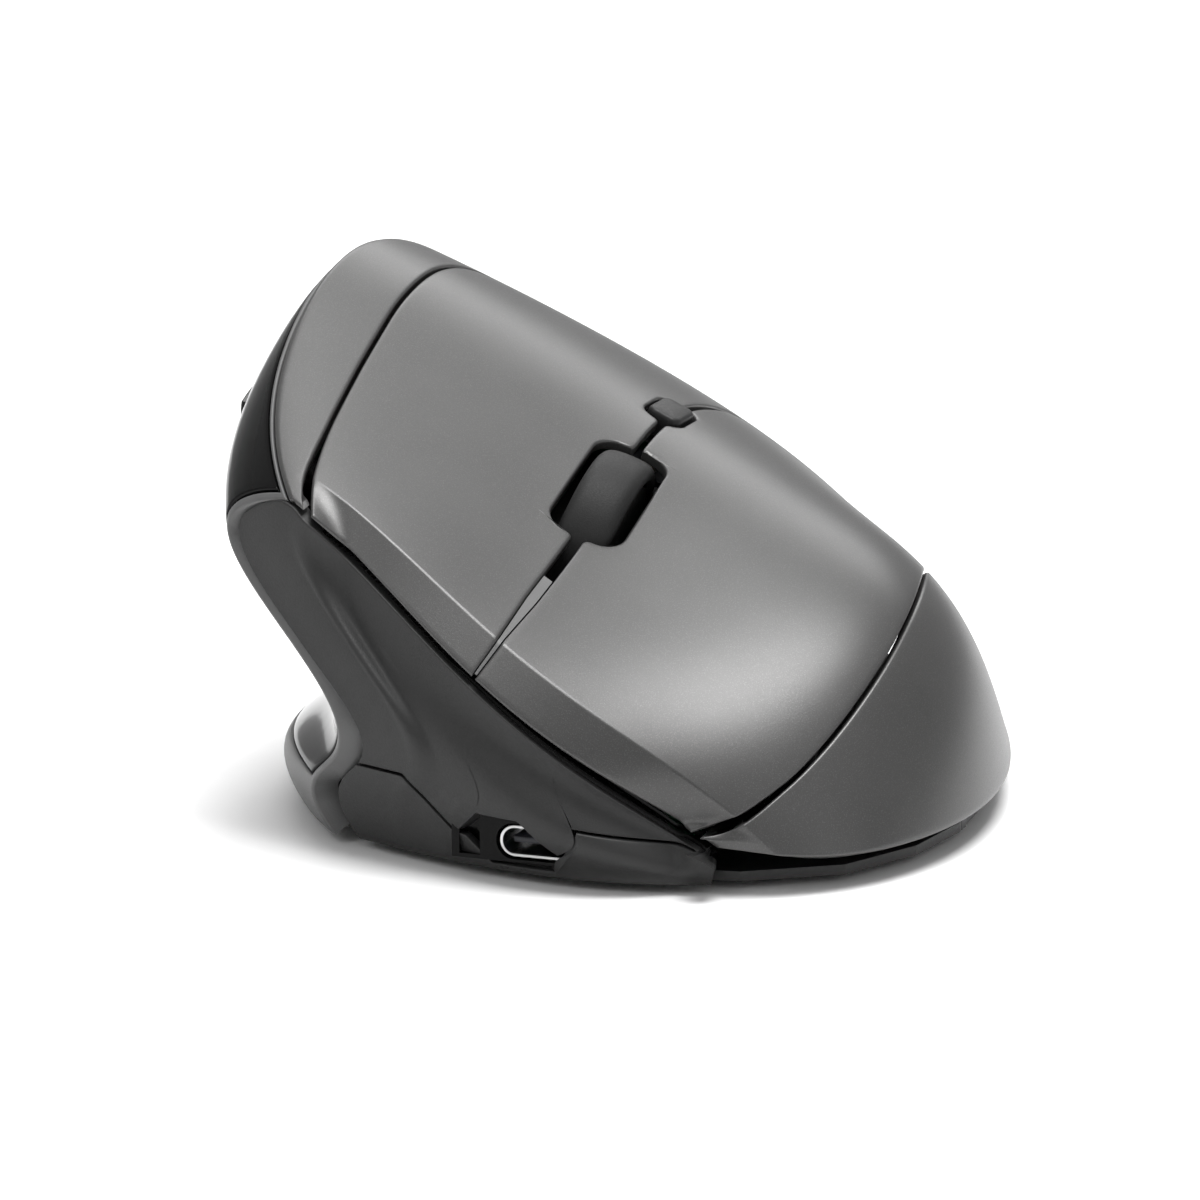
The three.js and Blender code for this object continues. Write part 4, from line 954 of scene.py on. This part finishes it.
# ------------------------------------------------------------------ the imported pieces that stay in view


def soften(node, width=0.15):
    """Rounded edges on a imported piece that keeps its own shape."""
    bevel = node.modifiers.new("soft_edges", "BEVEL")
    bevel.width = width * MM
    bevel.segments = 2
    bevel.limit_method = "ANGLE"
    bevel.angle_limit = math.radians(40)
    node.data.shade_smooth()
    node.data.set_sharp_from_angle(angle=math.radians(40))


def dress_packed_pieces():
    slots = {part["node"]: part["material_slot"] for part in frame["record"]["subparts"]}
    for name, node in frame["nodes"].items():
        node.data.materials.clear()
        node.data.materials.append(MATERIALS[slots[name]])
        if not node.hide_render:
            soften(node)


# ------------------------------------------------------------------ stage


def area_light(name, place, aim, size, power):
    light = bpy.data.lights.new(name, "AREA")
    light.shape = "RECTANGLE"
    light.size, light.size_y = size
    light.energy = power
    lamp = bpy.data.objects.new(name, light)
    lamp.location = place
    lamp.rotation_euler = (Vector(aim) - Vector(place)).to_track_quat("-Z", "Y").to_euler()
    bpy.context.scene.collection.objects.link(lamp)


def make_floor():
    """A pale floor that curves up into a backdrop all round."""
    reach, rise, rings = 6.0, 3.0, []
    profile = [(0.05, 0.0), (reach * 0.6, 0.0)]
    turns = np.radians(range(15, 91, 15))
    profile += [(reach * 0.6 + rise * math.sin(a), rise * (1 - math.cos(a))) for a in turns]
    for radius, z in profile:
        angles = np.linspace(0, 2 * np.pi, 96, endpoint=False)
        rings.append(np.column_stack([radius * np.cos(angles), radius * np.sin(angles), np.full(96, z)]))
    mesh = bpy.data.meshes.new("floor")
    faces = loft_faces(len(rings), 96, True)[:-1]
    mesh.from_pydata(np.concatenate(rings).tolist(), [], faces)
    mesh.shade_smooth()
    floor = bpy.data.objects.new("floor", mesh)
    bpy.context.scene.collection.objects.link(floor)
    mesh.materials.append(make_material("floor_paint", grey(0.93), 0.6, 1.0, 0.02, edge_wear_and_highlight=0.0, variation=0.01))


def make_stage():
    make_floor()
    world = bpy.data.worlds.new("studio")
    world.use_nodes = True
    world.node_tree.nodes["Background"].inputs["Color"].default_value = (1, 1, 1, 1)
    world.node_tree.nodes["Background"].inputs["Strength"].default_value = 0.5
    bpy.context.scene.world = world
    bpy.context.scene.view_settings.view_transform = "Standard"
    area_light("key_light", (-0.4, -0.7, 0.7), (0, 0, 0.02), (0.5, 0.5), 1.2)
    area_light("top_light", (0.14, 0.0, 1.1), (0, 0, 0.02), (0.6, 0.6), 15)
    area_light("right_light", (0.9, -0.3, 0.5), (0, 0, 0.02), (0.5, 0.8), 0.6)
    area_light("far_light", (-0.35, 1.5, 1.3), (-0.45, 1.7, 0), (1.6, 1.2), 26)


def make_camera():
    data = bpy.data.cameras.new("camera")
    data.lens, data.sensor_width = 121.5, 36
    camera = bpy.data.objects.new("camera", data)
    aim = Vector((-0.00921, 0.00055, 0.01707))
    azimuth, elevation, distance = math.radians(20), math.radians(12), 0.45
    back = Vector((math.sin(azimuth) * math.cos(elevation), -math.cos(azimuth) * math.cos(elevation),
                   math.sin(elevation)))
    camera.location = aim + back * distance
    camera.rotation_euler = (-back).to_track_quat("-Z", "Y").to_euler()
    bpy.context.scene.collection.objects.link(camera)
    bpy.context.scene.camera = camera


# ------------------------------------------------------------------ the mouse

body_skin()
palm_cover_skin()
key_skin("upper_key", -1, ["upper_key"])
key_skin("lower_key", 1, ["lower_key"])
thumb_frame_skin()
thumb_panel_skin()
side_button_skin("forward_button", 0.15, 0.287)
side_button_skin("back_button", 0.293, 0.43)
front_panel_skin()
base_front_skin()
front_trim_skin()
slit_inlay()
port_shell()
port_tongue()
tyre_skin()
dpi_skin()
for skate_name, sizes in SKATES.items():
    skate_skin(skate_name, *sizes)
dress_packed_pieces()
make_stage()
make_camera()
